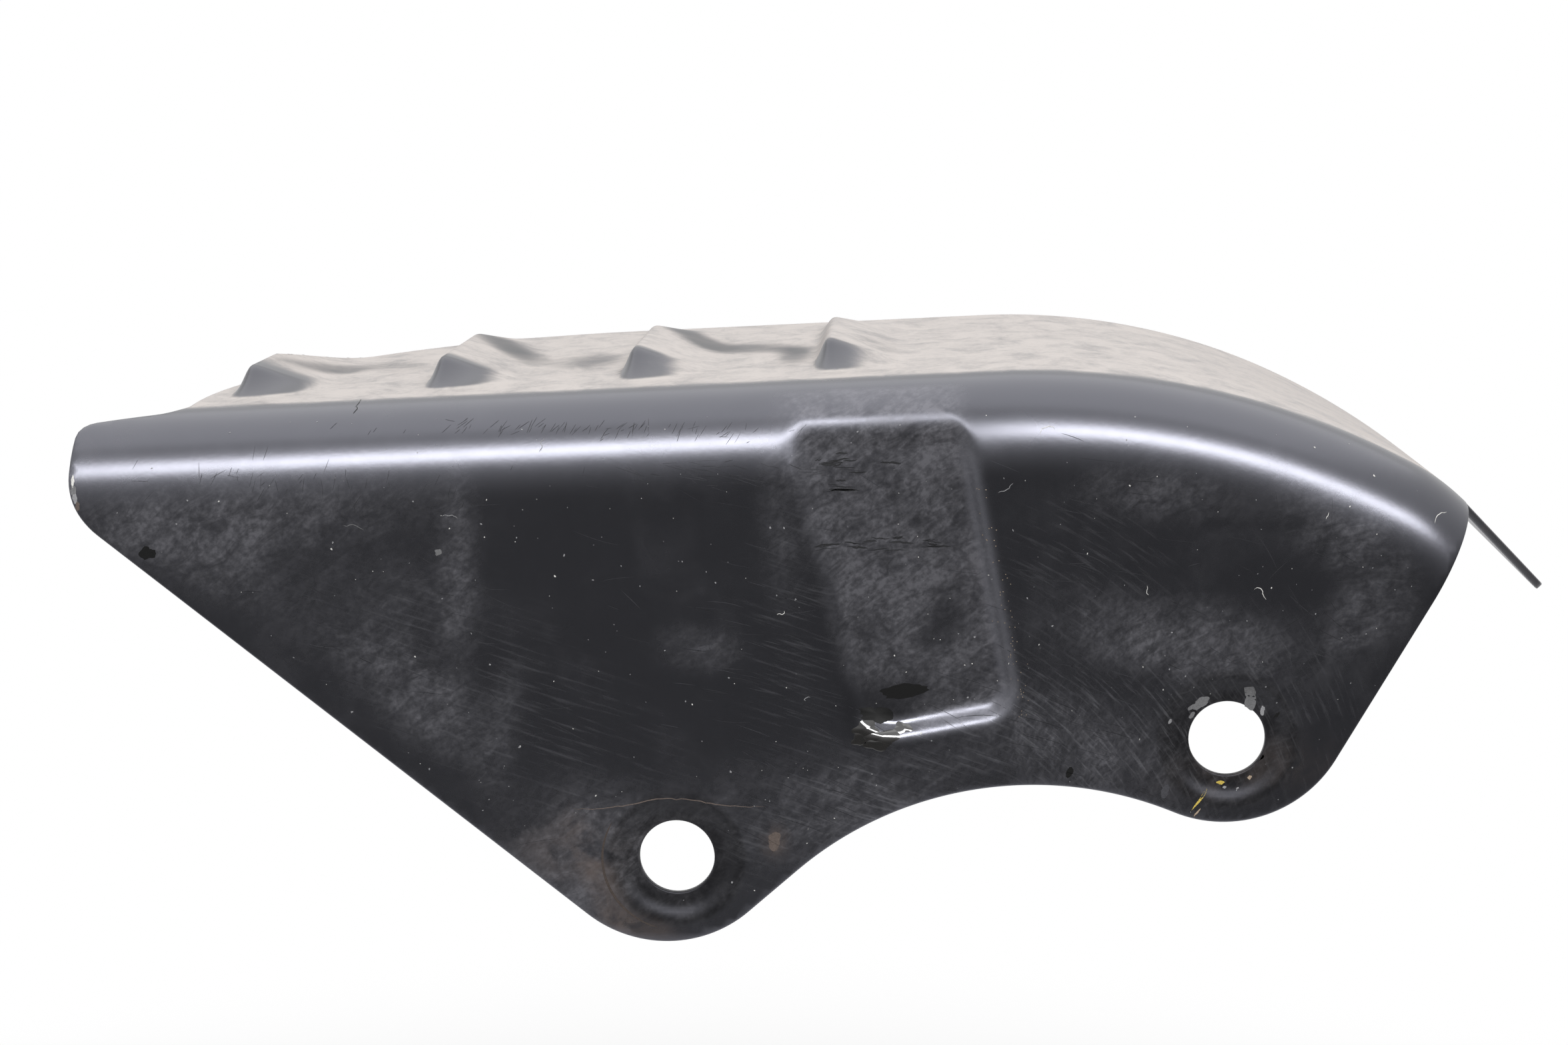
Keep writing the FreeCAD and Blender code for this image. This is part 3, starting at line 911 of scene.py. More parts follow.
    def _triangulate(self, loops: list[np.ndarray]) -> tuple[np.ndarray, np.ndarray]:
        """Fills the flat sheet with triangles.

        Args:
            loops: the outer edge and the holes' edges.

        Returns:
            p and q of the vertices, and the triangles.
        """
        grids = []
        for step, detailed in ((self.coarse, False), (self.fine, True)):
            p, q = self._grid(step)
            chosen = self._detail(p, q) == detailed
            p, q = p[chosen], q[chosen]
            clear = self._clearance(p, q, loops) > 0.45 * step
            grids.append(np.stack((p[clear], q[clear]), axis=1))
        inner = np.concatenate(grids)
        edges = []
        start = 0
        for loop in loops:
            count = len(loop)
            edges += [(start + index, start + (index + 1) % count) for index in range(count)]
            start += count
        vertices = np.concatenate(loops + [inner])
        result = geometry.delaunay_2d_cdt([Vector(v) for v in vertices], edges, [], 2, 1e-6)
        flat = np.array([tuple(v) for v in result[0]])
        triangles = np.array([tuple(face) for face in result[2]], dtype=np.int64)
        middles = flat[triangles].mean(axis=1)
        triangles = triangles[self._clearance(middles[:, 0], middles[:, 1], loops) > 0.0]
        a, b, c = (flat[triangles[:, index]] for index in range(3))
        turn = (b[:, 0] - a[:, 0]) * (c[:, 1] - a[:, 1]) - (b[:, 1] - a[:, 1]) * (c[:, 0] - a[:, 0])
        triangles[turn < 0.0] = triangles[turn < 0.0][:, ::-1]
        return flat, triangles

    def _clearance(self, p: np.ndarray, q: np.ndarray, loops: list[np.ndarray]) -> np.ndarray:
        """Distance on the folded sheet from points to the nearest edge.

        Args:
            p: distances along the roof line.
            q: distances across the fold.
            loops: the outer edge and the holes' edges.

        Returns:
            The distances, negative off the sheet.
        """
        points, _normals = self.fold.place(p, q)
        nearest = np.full(len(p), 1e9)
        inside = np.zeros(len(p), dtype=bool)
        for loop in loops:
            edge, _normals = self.fold.place(loop[:, 0], loop[:, 1])
            after = np.roll(loop, -1, axis=0)
            for index in range(len(loop)):
                nearest = np.minimum(nearest, ((points - edge[index]) ** 2).sum(axis=1))
                (p0, q0), (p1, q1) = loop[index], after[index]
                if q0 != q1:
                    crosses = (q0 > q) != (q1 > q)
                    inside ^= crosses & (p < p0 + (q - q0) * (p1 - p0) / (q1 - q0))
        return np.where(inside, np.sqrt(nearest), -1.0)

    def _press(self, flat: np.ndarray) -> np.ndarray:
        """Folds the flat sheet and presses its pad, dishes and ribs.

        Args:
            flat: p and q of the vertices.

        Returns:
            The outer side's points in millimetres.
        """
        p, q = flat[:, 0], flat[:, 1]
        points, normals = self.fold.place(p, q)
        depth = points[:, 1] - self.fold.face_y
        on_face = q < self.fold.bend
        pressed = soft_max(depth, self.pad.at(points[:, 0], points[:, 2]), self.pad_blend)
        unpressed = soft_max(depth, np.zeros_like(depth), self.pad_blend)
        pushed = np.where(on_face, pressed - unpressed, 0.0)
        for dish in self.dishes:
            pushed = pushed + np.where(q < 0.0, dish.at(points[:, 0], points[:, 2]), 0.0)
        points[:, 1] += pushed
        raised = np.where(q > self.fold.roof_q, self.rib_height(p, depth), 0.0)
        return points + normals * raised[:, None]

    def surface(self, flat: np.ndarray) -> tuple[np.ndarray, np.ndarray]:
        """Points of the finished outer side and its normals there.

        Args:
            flat: p and q of the points.

        Returns:
            The points in millimetres and their outward normals.
        """
        tiny = 0.02
        points = self._press(flat)
        along = self._press(flat + (tiny, 0.0)) - points
        across = self._press(flat + (0.0, tiny)) - points
        normals = np.cross(along, across)
        return points, normals / np.linalg.norm(normals, axis=1)[:, None]

    def rib_height(self, p: np.ndarray, depth: np.ndarray) -> np.ndarray:
        """How high the ribs stand over the roof at places along the roof line and behind the face."""
        return np.max([rib.at(p - self.rib_p(rib), depth) for rib in self.ribs], axis=0)

    def past_rib(self, p: np.ndarray) -> np.ndarray:
        """How far each place stands past a rib's crest, or a large number well ahead of any rib."""
        past = [np.where(p > self.rib_p(rib) - 5.0, p - self.rib_p(rib), 1e3) for rib in self.ribs]
        return np.min(past, axis=0)

    @staticmethod
    def _normals(points: np.ndarray, triangles: np.ndarray) -> np.ndarray:
        """Outward unit normals of a skin's vertices.

        Args:
            points: the vertices.
            triangles: the triangles between them.

        Returns:
            One normal for each vertex.
        """
        a, b, c = (points[triangles[:, index]] for index in range(3))
        face = np.cross(b - a, c - a)
        total = np.zeros_like(points)
        for index in range(3):
            np.add.at(total, triangles[:, index], face)
        return total / np.linalg.norm(total, axis=1)[:, None]

    def _assemble(
        self, flat: np.ndarray, triangles: np.ndarray, outer: np.ndarray, normals: np.ndarray
    ) -> bpy.types.Object:
        """Joins the two skins along a rounded cut edge.

        Args:
            flat: p and q of the vertices.
            triangles: the triangles of one skin.
            outer: the outer side's points.
            normals: their outward normals.

        Returns:
            The guard's object.
        """
        count = len(outer)
        directed = np.concatenate((triangles[:, [0, 1]], triangles[:, [1, 2]], triangles[:, [2, 0]]))
        key = directed[:, 0] * count + directed[:, 1]
        back = directed[:, 1] * count + directed[:, 0]
        rim = directed[~np.isin(key, back)]
        follow = np.full(count, -1)
        lead = np.full(count, -1)
        follow[rim[:, 0]] = rim[:, 1]
        lead[rim[:, 1]] = rim[:, 0]
        edge = rim[:, 0]
        tangent = outer[follow[edge]] - outer[lead[edge]]
        outward = np.cross(tangent, normals[edge])
        outward /= np.linalg.norm(outward, axis=1)[:, None]
        base = outer[edge] - outward * self.edge_round
        skin = outer.copy()
        skin[edge] = base
        under = skin - normals * self.sheet
        radius = self.edge_round
        turns = np.linspace(0.0, math.pi / 2.0, 4)[1:]
        drops = radius * (1.0 - np.cos(turns))
        profile = list(zip(radius * np.sin(turns), drops))
        profile += list(zip(radius * np.sin(turns[::-1]), self.sheet - drops[::-1]))
        rows = [base + outward * out - normals[edge] * drop for out, drop in profile]
        points = np.concatenate([skin, under] + rows)
        slot = np.full(count, -1)
        slot[edge] = np.arange(len(edge))
        after = slot[follow[edge]]
        ring = np.arange(len(edge))
        rings = [2 * count + index * len(edge) + ring for index in range(len(rows))]
        levels = [edge] + rings + [count + edge]
        faces = [triangles, triangles[:, ::-1] + count]
        for upper, lower in zip(levels[:-1], levels[1:]):
            faces.append(np.stack((upper, lower, lower[after]), axis=1))
            faces.append(np.stack((upper, lower[after], upper[after]), axis=1))
        mesh = bpy.data.meshes.new("guard_shell")
        mesh.from_pydata((points * MM).tolist(), [], np.concatenate(faces).tolist())
        mesh.shade_smooth()
        lay = np.concatenate((flat, flat) + tuple(flat[edge] for _row in rows))
        inner = np.repeat((0.0, 1.0, 0.5), (count, count, len(points) - 2 * count))
        store_vectors(mesh, "lay", np.column_stack((lay * MM, inner * 0.02)))
        wear_and_painted_light, stain = self.wear_and_painted_light.masks(self, points, lay, inner, points[edge])
        store_vectors(mesh, "wear_and_painted_light", wear_and_painted_light)
        store_vectors(mesh, "stain", stain)
        shell = bpy.data.objects.new("guard_shell", mesh)
        bpy.context.scene.collection.objects.link(shell)
        return shell


class Graph:
    """Short-hand for wiring a material's nodes."""

    def __init__(self, name: str) -> None:
        """Makes a material with an empty shader.

        Args:
            name: the material's name.
        """
        self.material = bpy.data.materials.new(name)
        self.material.use_nodes = True
        self.tree = self.material.node_tree
        self.shader = self.tree.nodes["Principled BSDF"]

    def node(
        self, kind: str, inputs: dict[str | int, object] | None = None, **settings: object
    ) -> bpy.types.Node:
        """Adds a node.

        Args:
            kind: the node's type.
            inputs: values or sockets for its inputs, by name or number.
            settings: values for its own properties.

        Returns:
            The node.
        """
        node = self.tree.nodes.new(kind)
        for name, value in settings.items():
            setattr(node, name, value)
        for name, value in (inputs or {}).items():
            self.feed(node.inputs[name], value)
        return node

    def feed(self, socket: bpy.types.NodeSocket, value: object) -> None:
        """Links a socket to another one, or sets its value.

        Args:
            socket: the socket.
            value: the other socket, or the value.
        """
        if isinstance(value, bpy.types.NodeSocket):
            self.tree.links.new(value, socket)
        else:
            socket.default_value = value

    def math(
        self, operation: str, first: object, second: object = 0.0, clamp: bool = False
    ) -> bpy.types.NodeSocket:
        """The result of an arithmetic step."""
        node = self.node("ShaderNodeMath", {0: first, 1: second}, operation=operation, use_clamp=clamp)
        return node.outputs[0]

    def add(self, first: object, second: object, share: float) -> bpy.types.NodeSocket:
        """The sum of a value and a share of another one."""
        return self.math("ADD", first, self.math("MULTIPLY", second, share))

    def ramp(self, value: object, low: float, high: float) -> bpy.types.NodeSocket:
        """An eased step from 0 to 1 between two values."""
        inputs = {"Value": value, "From Min": low, "From Max": high}
        return self.node("ShaderNodeMapRange", inputs, interpolation_type="SMOOTHSTEP").outputs["Result"]

    def mix(self, share: object, first: object, second: object) -> bpy.types.NodeSocket:
        """A colour between two colours.

        Args:
            share: how much of the second one is in it.
            first: the first colour.
            second: the second colour.

        Returns:
            The mixed colour.
        """
        node = self.node("ShaderNodeMix", data_type="RGBA")
        for index, value in ((0, share), (6, first), (7, second)):
            self.feed(node.inputs[index], value)
        return node.outputs[2]

    def noise(
        self, vector: object, scale: float, detail: float, rough: float = 0.5, warp: float = 0.0
    ) -> bpy.types.NodeSocket:
        """A cloudy field from 0 to 1, read at a vector, with so many clouds in a metre of it."""
        inputs = {"Vector": vector, "Scale": scale, "Detail": detail, "Roughness": rough, "Distortion": warp}
        return self.node("ShaderNodeTexNoise", inputs).outputs[0]

    def stretched(
        self, vector: object, turn: float, scale: tuple[float, float, float]
    ) -> bpy.types.NodeSocket:
        """Coordinates turned about the sheet's normal and then stretched.

        Args:
            vector: the coordinates.
            turn: the turn, in degrees.
            scale: the stretch along each axis.

        Returns:
            The new coordinates.
        """
        rotation = (0.0, 0.0, math.radians(turn))
        turned = self.node("ShaderNodeMapping", {"Vector": vector, "Rotation": rotation})
        return self.node("ShaderNodeMapping", {"Vector": turned.outputs[0], "Scale": scale}).outputs[0]

    def attribute(self, name: str) -> bpy.types.NodeSocket:
        """The three numbers stored on the mesh under a name."""
        return self.node("ShaderNodeAttribute", attribute_name=name).outputs["Vector"]

    def parts(self, vector: object) -> list[bpy.types.NodeSocket]:
        """The three numbers of a vector."""
        return list(self.node("ShaderNodeSeparateXYZ", {0: vector}).outputs)


@dataclass(frozen=True)
class BlackPaint:
    """Gloss black paint with haze (partly a painted reflection), fine scratches, rust, dust (with bare
    patches of painted shade) and chipped edges.
    """

    colour: tuple[float, float, float, float] = (0.0035, 0.0034, 0.0034, 1.0)
    haze_and_reflection: tuple[float, float, float, float] = (0.115, 0.113, 0.122, 1.0)
    scratch: tuple[float, float, float, float] = (0.16, 0.16, 0.17, 1.0)
    rust: tuple[float, float, float, float] = (0.105, 0.078, 0.062, 1.0)
    dust: tuple[float, float, float, float] = (0.58, 0.535, 0.51, 1.0)
    metal: tuple[float, float, float, float] = (0.3, 0.28, 0.26, 1.0)
    sheen: tuple[float, float, float, float] = (0.86, 0.87, 1.0, 1.0)
    ior: float = 1.75
    gloss: float = 0.85
    roughness: float = 0.26

    def material(self) -> bpy.types.Material:
        """Makes the finish's material.

        Returns:
            The material, which reads the wear stored on the mesh.
        """
        graph = Graph("black_paint")
        lay = graph.attribute("lay")
        dust, haze_and_reflection, brush = graph.parts(graph.attribute("wear_and_painted_light"))
        rust, wet, edge = graph.parts(graph.attribute("stain"))
        broad = graph.noise(lay, 55.0, 4.0, 0.6, 0.4)
        cloud = graph.noise(lay, 190.0, 6.0, 0.62, 0.7)
        grain = graph.noise(lay, 1300.0, 4.0, 0.65)
        streak = graph.noise(graph.stretched(lay, 21.0, (130.0, 1900.0, 60.0)), 1.0, 4.0, 0.65)
        wipe = graph.noise(graph.stretched(lay, 84.0, (30.0, 420.0, 60.0)), 1.0, 3.0, 0.6)
        patch = graph.add(graph.math("MULTIPLY", cloud, 0.85), wipe, 0.15)
        feather = graph.noise(graph.stretched(lay, -35.0, (260.0, 700.0, 60.0)), 1.0, 6.0, 0.72, 1.2)
        film = graph.math("MULTIPLY", haze_and_reflection, graph.ramp(patch, 0.16, 0.74), True)
        film = graph.math("MULTIPLY", film, graph.math("ADD", graph.ramp(feather, 0.3, 0.72), 0.35))
        film = graph.math("MULTIPLY", film, graph.math("ADD", graph.ramp(grain, 0.3, 0.75), 0.6))
        thin = graph.math("MULTIPLY", graph.ramp(broad, 0.42, 0.75), 0.16)
        film = graph.math("ADD", film, graph.math("MULTIPLY", thin, graph.ramp(cloud, 0.35, 0.7)), True)
        lines = graph.math("MULTIPLY", brush, graph.ramp(streak, 0.5, 0.74), True)
        stain = graph.math("MULTIPLY", rust, graph.ramp(cloud, 0.3, 0.62), True)
        # The dust layer's bare patches on the roof (the ribs' fronts and patches behind them) are painted
        # shade; the haze film holds a painted reflection under the bend's highlight.
        settled = graph.add(graph.math("MULTIPLY", cloud, 0.7), grain, 0.3)
        drift = graph.add(dust, graph.math("SUBTRACT", cloud, 0.5), 0.5)
        settled = graph.math("MULTIPLY", graph.ramp(drift, 0.1, 0.9), graph.ramp(settled, 0.08, 0.62), True)
        chipped = graph.ramp(graph.math("MULTIPLY", edge, graph.ramp(grain, 0.54, 0.78)), 0.45, 0.9)
        colour = self.colour
        for layer, share, over in (
            (film, 0.7, self.haze_and_reflection),
            (lines, 0.4, self.scratch),
            (settled, 0.92, self.dust),
            (stain, 0.7, self.rust),
            (chipped, 0.7, self.metal),
        ):
            colour = graph.mix(graph.math("MULTIPLY", layer, share), colour, over)
        graph.feed(graph.shader.inputs["Base Color"], colour)
        rough = self.roughness - 0.02
        for layer, share in ((wipe, 0.04), (film, 0.14), (settled, 0.4), (lines, 0.1)):
            rough = graph.add(rough, layer, share)
        rough = graph.math("SUBTRACT", rough, graph.math("MULTIPLY", wet, 0.14), True)
        graph.feed(graph.shader.inputs["Roughness"], rough)
        matt = graph.math("MULTIPLY", wet, -0.78 * self.gloss, True)
        graph.feed(graph.shader.inputs["Specular IOR Level"], graph.math("SUBTRACT", self.gloss, matt))
        graph.shader.inputs["IOR"].default_value = self.ior
        gleam = graph.mix(settled, self.sheen, (1.0, 0.97, 0.94, 1.0))
        graph.feed(graph.shader.inputs["Specular Tint"], gleam)
        relief = graph.add(graph.math("MULTIPLY", cloud, 0.25), grain, 0.12)
        relief = graph.add(relief, lines, 0.1)
        bump = graph.node("ShaderNodeBump", {"Strength": 0.25, "Distance": 0.0002, "Height": relief})
        graph.feed(graph.shader.inputs["Normal"], bump.outputs[0])
        return graph.material


@dataclass(frozen=True)
class MarkPaint:
    """Specks, fibres, scratches and dabs, each in the colour stored on the mesh."""

    roughness: float = 0.55

    def material(self) -> bpy.types.Material:
        """Makes the marks' material.

        Returns:
            The material.
        """
        graph = Graph("surface_marks")
        colour = graph.node("ShaderNodeAttribute", attribute_name="tint").outputs["Color"]
        grain = graph.noise(graph.node("ShaderNodeTexCoord").outputs["Object"], 6000.0, 2.0)
        value = graph.math("ADD", grain, 0.5)
        shade = graph.node("ShaderNodeHueSaturation", {"Value": value, "Color": colour})
        graph.feed(graph.shader.inputs["Base Color"], shade.outputs[0])
        graph.shader.inputs["Roughness"].default_value = self.roughness
        graph.shader.inputs["Specular IOR Level"].default_value = 0.25
        return graph.material


class Tint(Enum):
    """Colours of the small marks."""

    WHITE = (0.7, 0.69, 0.66)
    PALE = (0.3, 0.3, 0.31)
    GREY = (0.17, 0.17, 0.175)
    FAINT = (0.062, 0.062, 0.07)
    TAN = (0.4, 0.31, 0.23)
    RUST = (0.125, 0.1, 0.088)
    YELLOW = (0.62, 0.47, 0.1)
    BLACK = (0.006, 0.006, 0.006)
    DARK = (0.026, 0.026, 0.028)


@dataclass
class SurfaceMarks:
    """Small marks that lie on the paint: scratches, specks, fibres, dabs and chips."""

    shell: GuardShell
    seed: int = 11
    lift: float = 0.012
    corners: int = 24
    scratch_points: int = 7
    thread_points: int = 12
    thread_width: float = 0.085
    points: list[np.ndarray] = field(default_factory=list)
    faces: list[tuple[int, ...]] = field(default_factory=list)
    tints: list[np.ndarray] = field(default_factory=list)
    count: int = 0

    def build(self) -> bpy.types.Object:
        """Lays all marks and joins them in one mesh.

        Returns:
            The marks' object.
        """
        rng = np.random.default_rng(self.seed)
        self._scratches(rng)
        self._specks(rng)
        self._fibres(rng)
        self._dabs(rng)
        self._stains(rng)
        mesh = bpy.data.meshes.new("surface_marks")
        mesh.from_pydata((np.concatenate(self.points) * MM).tolist(), [], self.faces)
        tint = mesh.attributes.new("tint", "FLOAT_COLOR", "POINT")
        rgb = np.concatenate(self.tints)
        tint.data.foreach_set("color", np.column_stack((rgb, np.ones(len(rgb)))).astype(np.float32).ravel())
        mesh.shade_smooth()
        mesh.materials.append(MarkPaint().material())
        marks = bpy.data.objects.new("surface_marks", mesh)
        bpy.context.scene.collection.objects.link(marks)
        return marks

    def _lay(self, flat: np.ndarray, faces: list[tuple[int, ...]], tint: np.ndarray, lift: float) -> None:
        """Puts faces on the sheet's outer side.

        Args:
            flat: p and q of their vertices.
            faces: the faces.
            tint: the colour, or one for each vertex.
            lift: how far they stand off the paint.
        """
        points, normals = self.shell.surface(flat)
        self.points.append(points + normals * lift)
        self.tints.append(np.broadcast_to(tint, (len(flat), 3)))
        self.faces += [tuple(self.count + index for index in face) for face in faces]
        self.count += len(flat)

    def ribbon(
        self, path: np.ndarray, width: float, tint: Tint, lift: float = 0.0, shade: float = 1.0
    ) -> None:
        """Lays a thin line that narrows at both ends.

        Args:
            path: p and q along the line.
            width: its greatest width.
            tint: its colour.
            lift: extra distance off the paint.
            shade: how light the colour is.
        """
        along = np.gradient(path, axis=0)
        along /= np.maximum(np.linalg.norm(along, axis=1), 1e-6)[:, None]
        side = np.stack((-along[:, 1], along[:, 0]), axis=1)
        share = np.linspace(0.0, 1.0, len(path))
        half = width / 2.0 * np.sqrt(np.clip(4.0 * share * (1.0 - share), 0.02, 1.0))[:, None]
        flat = np.concatenate((path + side * half, path - side * half))
        size = len(path)
        faces = [(index, size + index, size + index + 1, index + 1) for index in range(size - 1)]
        self._lay(flat, faces, np.array(tint.value) * shade, self.lift + lift)

    def dab(
        self,
        x: float,
        z: float,
        long: float,
        wide: float,
        turn: float,
        tint: Tint,
        rng: np.random.Generator,
    ) -> None:
        """Lays a small ragged spot on the face.

        Args:
            x: X of its middle.
            z: Z of its middle.
            long: half its length.
            wide: half its width.
            turn: angle of its length, in degrees.
            tint: its colour.
            rng: source of its ragged edge.
        """
        middle = self.shell.fold.from_face(np.array([[x, z]]))[0]
        angle = np.linspace(0.0, 2.0 * math.pi, self.corners, endpoint=False)
        ragged = rng.standard_normal(self.corners)
        ragged = 1.0 + 0.16 * (ragged + np.roll(ragged, 1) + np.roll(ragged, 2)) / math.sqrt(3.0)
        u = np.cos(angle) * long * ragged
        v = np.sin(angle) * wide * ragged
        cos, sin = math.cos(math.radians(turn)), math.sin(math.radians(turn))
        rim = middle + np.stack((u * cos - v * sin, u * sin + v * cos), axis=1)
        flat = np.concatenate((middle[None, :], rim))
        faces = [(0, 1 + index, 1 + (index + 1) % self.corners) for index in range(self.corners)]
        self._lay(flat, faces, np.array(tint.value), self.lift)

    def _scratches(self, rng: np.random.Generator) -> None:
        """Fine scratches: slanting ones about the pad and the upper hole, and loose ones elsewhere.

        Args:
            rng: source of their places and slants.
        """
        zones = (
            (100, (48.0, 16.0), (18.0, 8.0), -20.0, 7.0, 6.0),
            (90, (20.0, 7.0), (15.0, 7.0), -26.0, 6.0, 6.0),
            (34, (47.0, 37.0), (8.0, 10.0), -12.0, 6.0, 6.0),
            (50, (10.0, 24.0), (6.0, 15.0), -8.0, 6.0, 6.0),
            (70, (-25.0, 24.0), (24.0, 12.0), -14.0, 18.0, 6.0),
            (40, (70.0, 30.0), (12.0, 10.0), -30.0, 25.0, 6.0),
            (90, (-10.0, 51.6), (18.0, 0.7), 50.0, 22.0, 1.6),
            (60, (6.0, 46.5), (10.0, 1.6), -12.0, 10.0, 4.0),
            (50, (-40.0, 45.0), (20.0, 2.0), 75.0, 25.0, 2.0),
        )
        paths = []
        for number, middle, spread, slant, scatter, longest in zones:
            for _ in range(number):
                x, z = np.array(middle) + rng.standard_normal(2) * np.array(spread) * 0.6
                angle = math.radians(slant + scatter * rng.standard_normal())
                bow = rng.normal(0.0, 0.02)
                share = np.linspace(-0.5, 0.5, self.scratch_points) * rng.uniform(0.25, 1.0) * longest
                path_x = x + share * math.cos(angle) - bow * share**2 * math.sin(angle)
                path_z = z + share * math.sin(angle) + bow * share**2 * math.cos(angle)
                paths.append(np.stack((path_x, path_z), axis=1))
        flat = self.shell.fold.from_face(np.concatenate(paths))
        clear = self.shell.clearance(flat).reshape(-1, self.scratch_points).min(axis=1)
        for path in flat.reshape(-1, self.scratch_points, 2)[clear > 0.8]:
            self.ribbon(path, rng.uniform(0.03, 0.06), Tint.FAINT, 0.0, rng.uniform(0.3, 0.95))

    def _specks(self, rng: np.random.Generator) -> None:
        """Bits of dust scattered over the face and the bend, and tan grit on the pad's right wall.

        Args:
            rng: source of their places and sizes.
        """
        places = np.column_stack((rng.uniform(-66.0, 88.0, 420), rng.uniform(-6.0, 54.0, 420)))
        clear = self.shell.clearance(self.shell.fold.from_face(places))
        for x, z in places[clear > 0.6]:
            size = 0.035 + 0.075 * rng.random() ** 3
            tint = Tint.WHITE if rng.random() < 0.3 else Tint.PALE
            self.dab(x, z, size * rng.uniform(1.0, 1.8), size, rng.uniform(0.0, 180.0), tint, rng)
        for _ in range(60):
            share = rng.random()
            x = 41.4 - 5.4 * share + 0.55 * rng.standard_normal()
            self.dab(x, 17.5 + 28.0 * share, 0.07, 0.05, 0.0, Tint.TAN, rng)

    def _fibres(self, rng: np.random.Generator) -> None:
        """Bits of lint, each a short wandering thread.

        Args:
            rng: source of their turns.
        """
        threads = (
            (37.6, 44.8, 80.0, 2.4, Tint.PALE),
            (55.2, 34.1, -50.0, 1.4, Tint.WHITE),
            (67.5, 33.6, 10.0, 2.6, Tint.WHITE),
            (-27.4, 41.5, 20.0, 2.2, Tint.PALE),
            (75.7, 42.0, 60.0, 0.9, Tint.WHITE),
            (-36.5, 39.6, 90.0, 3.0, Tint.GREY),
            (42.6, 51.4, 70.0, 2.6, Tint.WHITE),
            (88.6, 41.0, 80.0, 2.4, Tint.WHITE),
            (-16.0, 49.0, 10.0, 2.0, Tint.PALE),
            (12.0, 30.0, 75.0, 1.4, Tint.WHITE),
            (16.0, 20.0, 120.0, 1.2, Tint.PALE),
            (-38.8, 53.2, 50.0, 1.5, Tint.BLACK),
            (-38.8, 53.2, 20.0, 1.1, Tint.BLACK),
        )
        for x, z, heading, length, tint in threads:
            turns = np.radians(np.cumsum(rng.normal(0.0, 24.0, self.thread_points)) + heading)
            steps = np.stack((np.cos(turns), np.sin(turns)), axis=1) * length / self.thread_points
            path = np.array((x, z)) + np.cumsum(steps, axis=0)
            self.ribbon(self.shell.fold.from_face(path), self.thread_width, tint, 0.015)

    def _dabs(self, rng: np.random.Generator) -> None:
        """Chips and dabs: about the upper hole, at the tip and on the pad.

        Args:
            rng: source of their ragged edges.
        """
        spots = (
            (61.8, 19.6, 1.6, 0.75, 35.0, Tint.GREY),
            (61.0, 18.2, 0.6, 0.4, 60.0, Tint.GREY),
            (67.8, 20.6, 1.6, 1.1, -40.0, Tint.GREY),
            (69.3, 18.9, 0.7, 0.35, -50.0, Tint.PALE),
            (58.4, 17.6, 0.35, 0.3, 0.0, Tint.PALE),
            (64.6, 10.0, 0.75, 0.3, 15.0, Tint.YELLOW),
            (62.2, 8.2, 1.5, 0.28, 73.0, Tint.YELLOW),
            (61.8, 6.5, 0.55, 0.2, 70.0, Tint.TAN),
            (68.0, 10.7, 0.4, 0.3, 0.0, Tint.TAN),
            (65.1, 9.4, 0.4, 0.25, 0.0, Tint.PALE),
            (66.6, 9.3, 0.35, 0.22, 0.0, Tint.PALE),
            (70.9, 18.4, 0.3, 0.5, 0.0, Tint.BLACK),
            (-62.3, 36.9, 0.9, 0.75, 20.0, Tint.BLACK),
            (27.2, 20.6, 2.6, 0.8, 4.0, Tint.BLACK),
            (23.9, 17.7, 2.0, 0.9, -12.0, Tint.BLACK),
            (46.7, 11.3, 0.9, 0.7, 0.0, Tint.BLACK),
            (58.0, 9.0, 0.9, 0.9, 0.0, Tint.FAINT),
            (11.8, 2.4, 0.8, 1.2, 0.0, Tint.RUST),
            (-27.8, 37.3, 0.4, 0.4, 0.0, Tint.GREY),
            (3.6, 26.0, 1.6, 0.3, 5.0, Tint.FAINT),
        )
        for x, z, long, wide, turn, tint in spots:
            self.dab(x, z, long, wide, turn, tint, rng)
        chips = (
            (45.2, 0.2, Tint.WHITE),
            (44.3, 0.35, Tint.GREY),
            (43.4, 0.25, Tint.PALE),
            (42.5, 0.3, Tint.RUST),
        )
        for z, wide, tint in chips:
            edge_x = self.shell.face.tip_x + self.shell.face.tip_radius
            edge_x -= math.sqrt(self.shell.face.tip_radius**2 - (self.shell.face.tip_z - z) ** 2)
            self.dab(edge_x + 0.55, z, 0.55, wide, 90.0, tint, rng)

    def _stains(self, rng: np.random.Generator) -> None:
        """The thin rust line over the lower hole and dark wipes on the pad.

        Args:
            rng: source of their wander.
        """
        x = np.linspace(-12.3, 10.6, 40)
        z = 6.05 + 1.5 * np.exp(-(((x + 0.6) / 5.5) ** 2)) + 0.055 * np.maximum(x, 0.0)
        z = z + rng.normal(0.0, 0.05, 40)
        self.ribbon(self.shell.fold.from_face(np.stack((x, z), axis=1)), 0.13, Tint.RUST, 0.0, 1.2)
        ring = np.radians(np.linspace(150.0, 255.0, 30))
        path = np.stack((8.9 * np.cos(ring), 8.9 * np.sin(ring)), axis=1)
        self.ribbon(self.shell.fold.from_face(path), 0.3, Tint.RUST, 0.0, 0.55)
        smears = (
            (14, 16.0, 26.0, 38.3),
            (6, 28.6, 29.8, 38.2),
            (8, 17.5, 19.5, 45.0),
            (12, 15.5, 26.0, 47.8),
        )
        for number, low, high, height in smears:
            for _ in range(number):
                x = rng.uniform(low, high) + np.linspace(0.0, rng.uniform(0.8, 3.2), 8)
                z = height + rng.normal(0.0, 0.45) + np.cumsum(rng.normal(0.0, 0.05, 8))
                path = self.shell.fold.from_face(np.stack((x, z), axis=1))
                self.ribbon(path, rng.uniform(0.06, 0.28), Tint.DARK, 0.0, rng.uniform(0.6, 1.1))


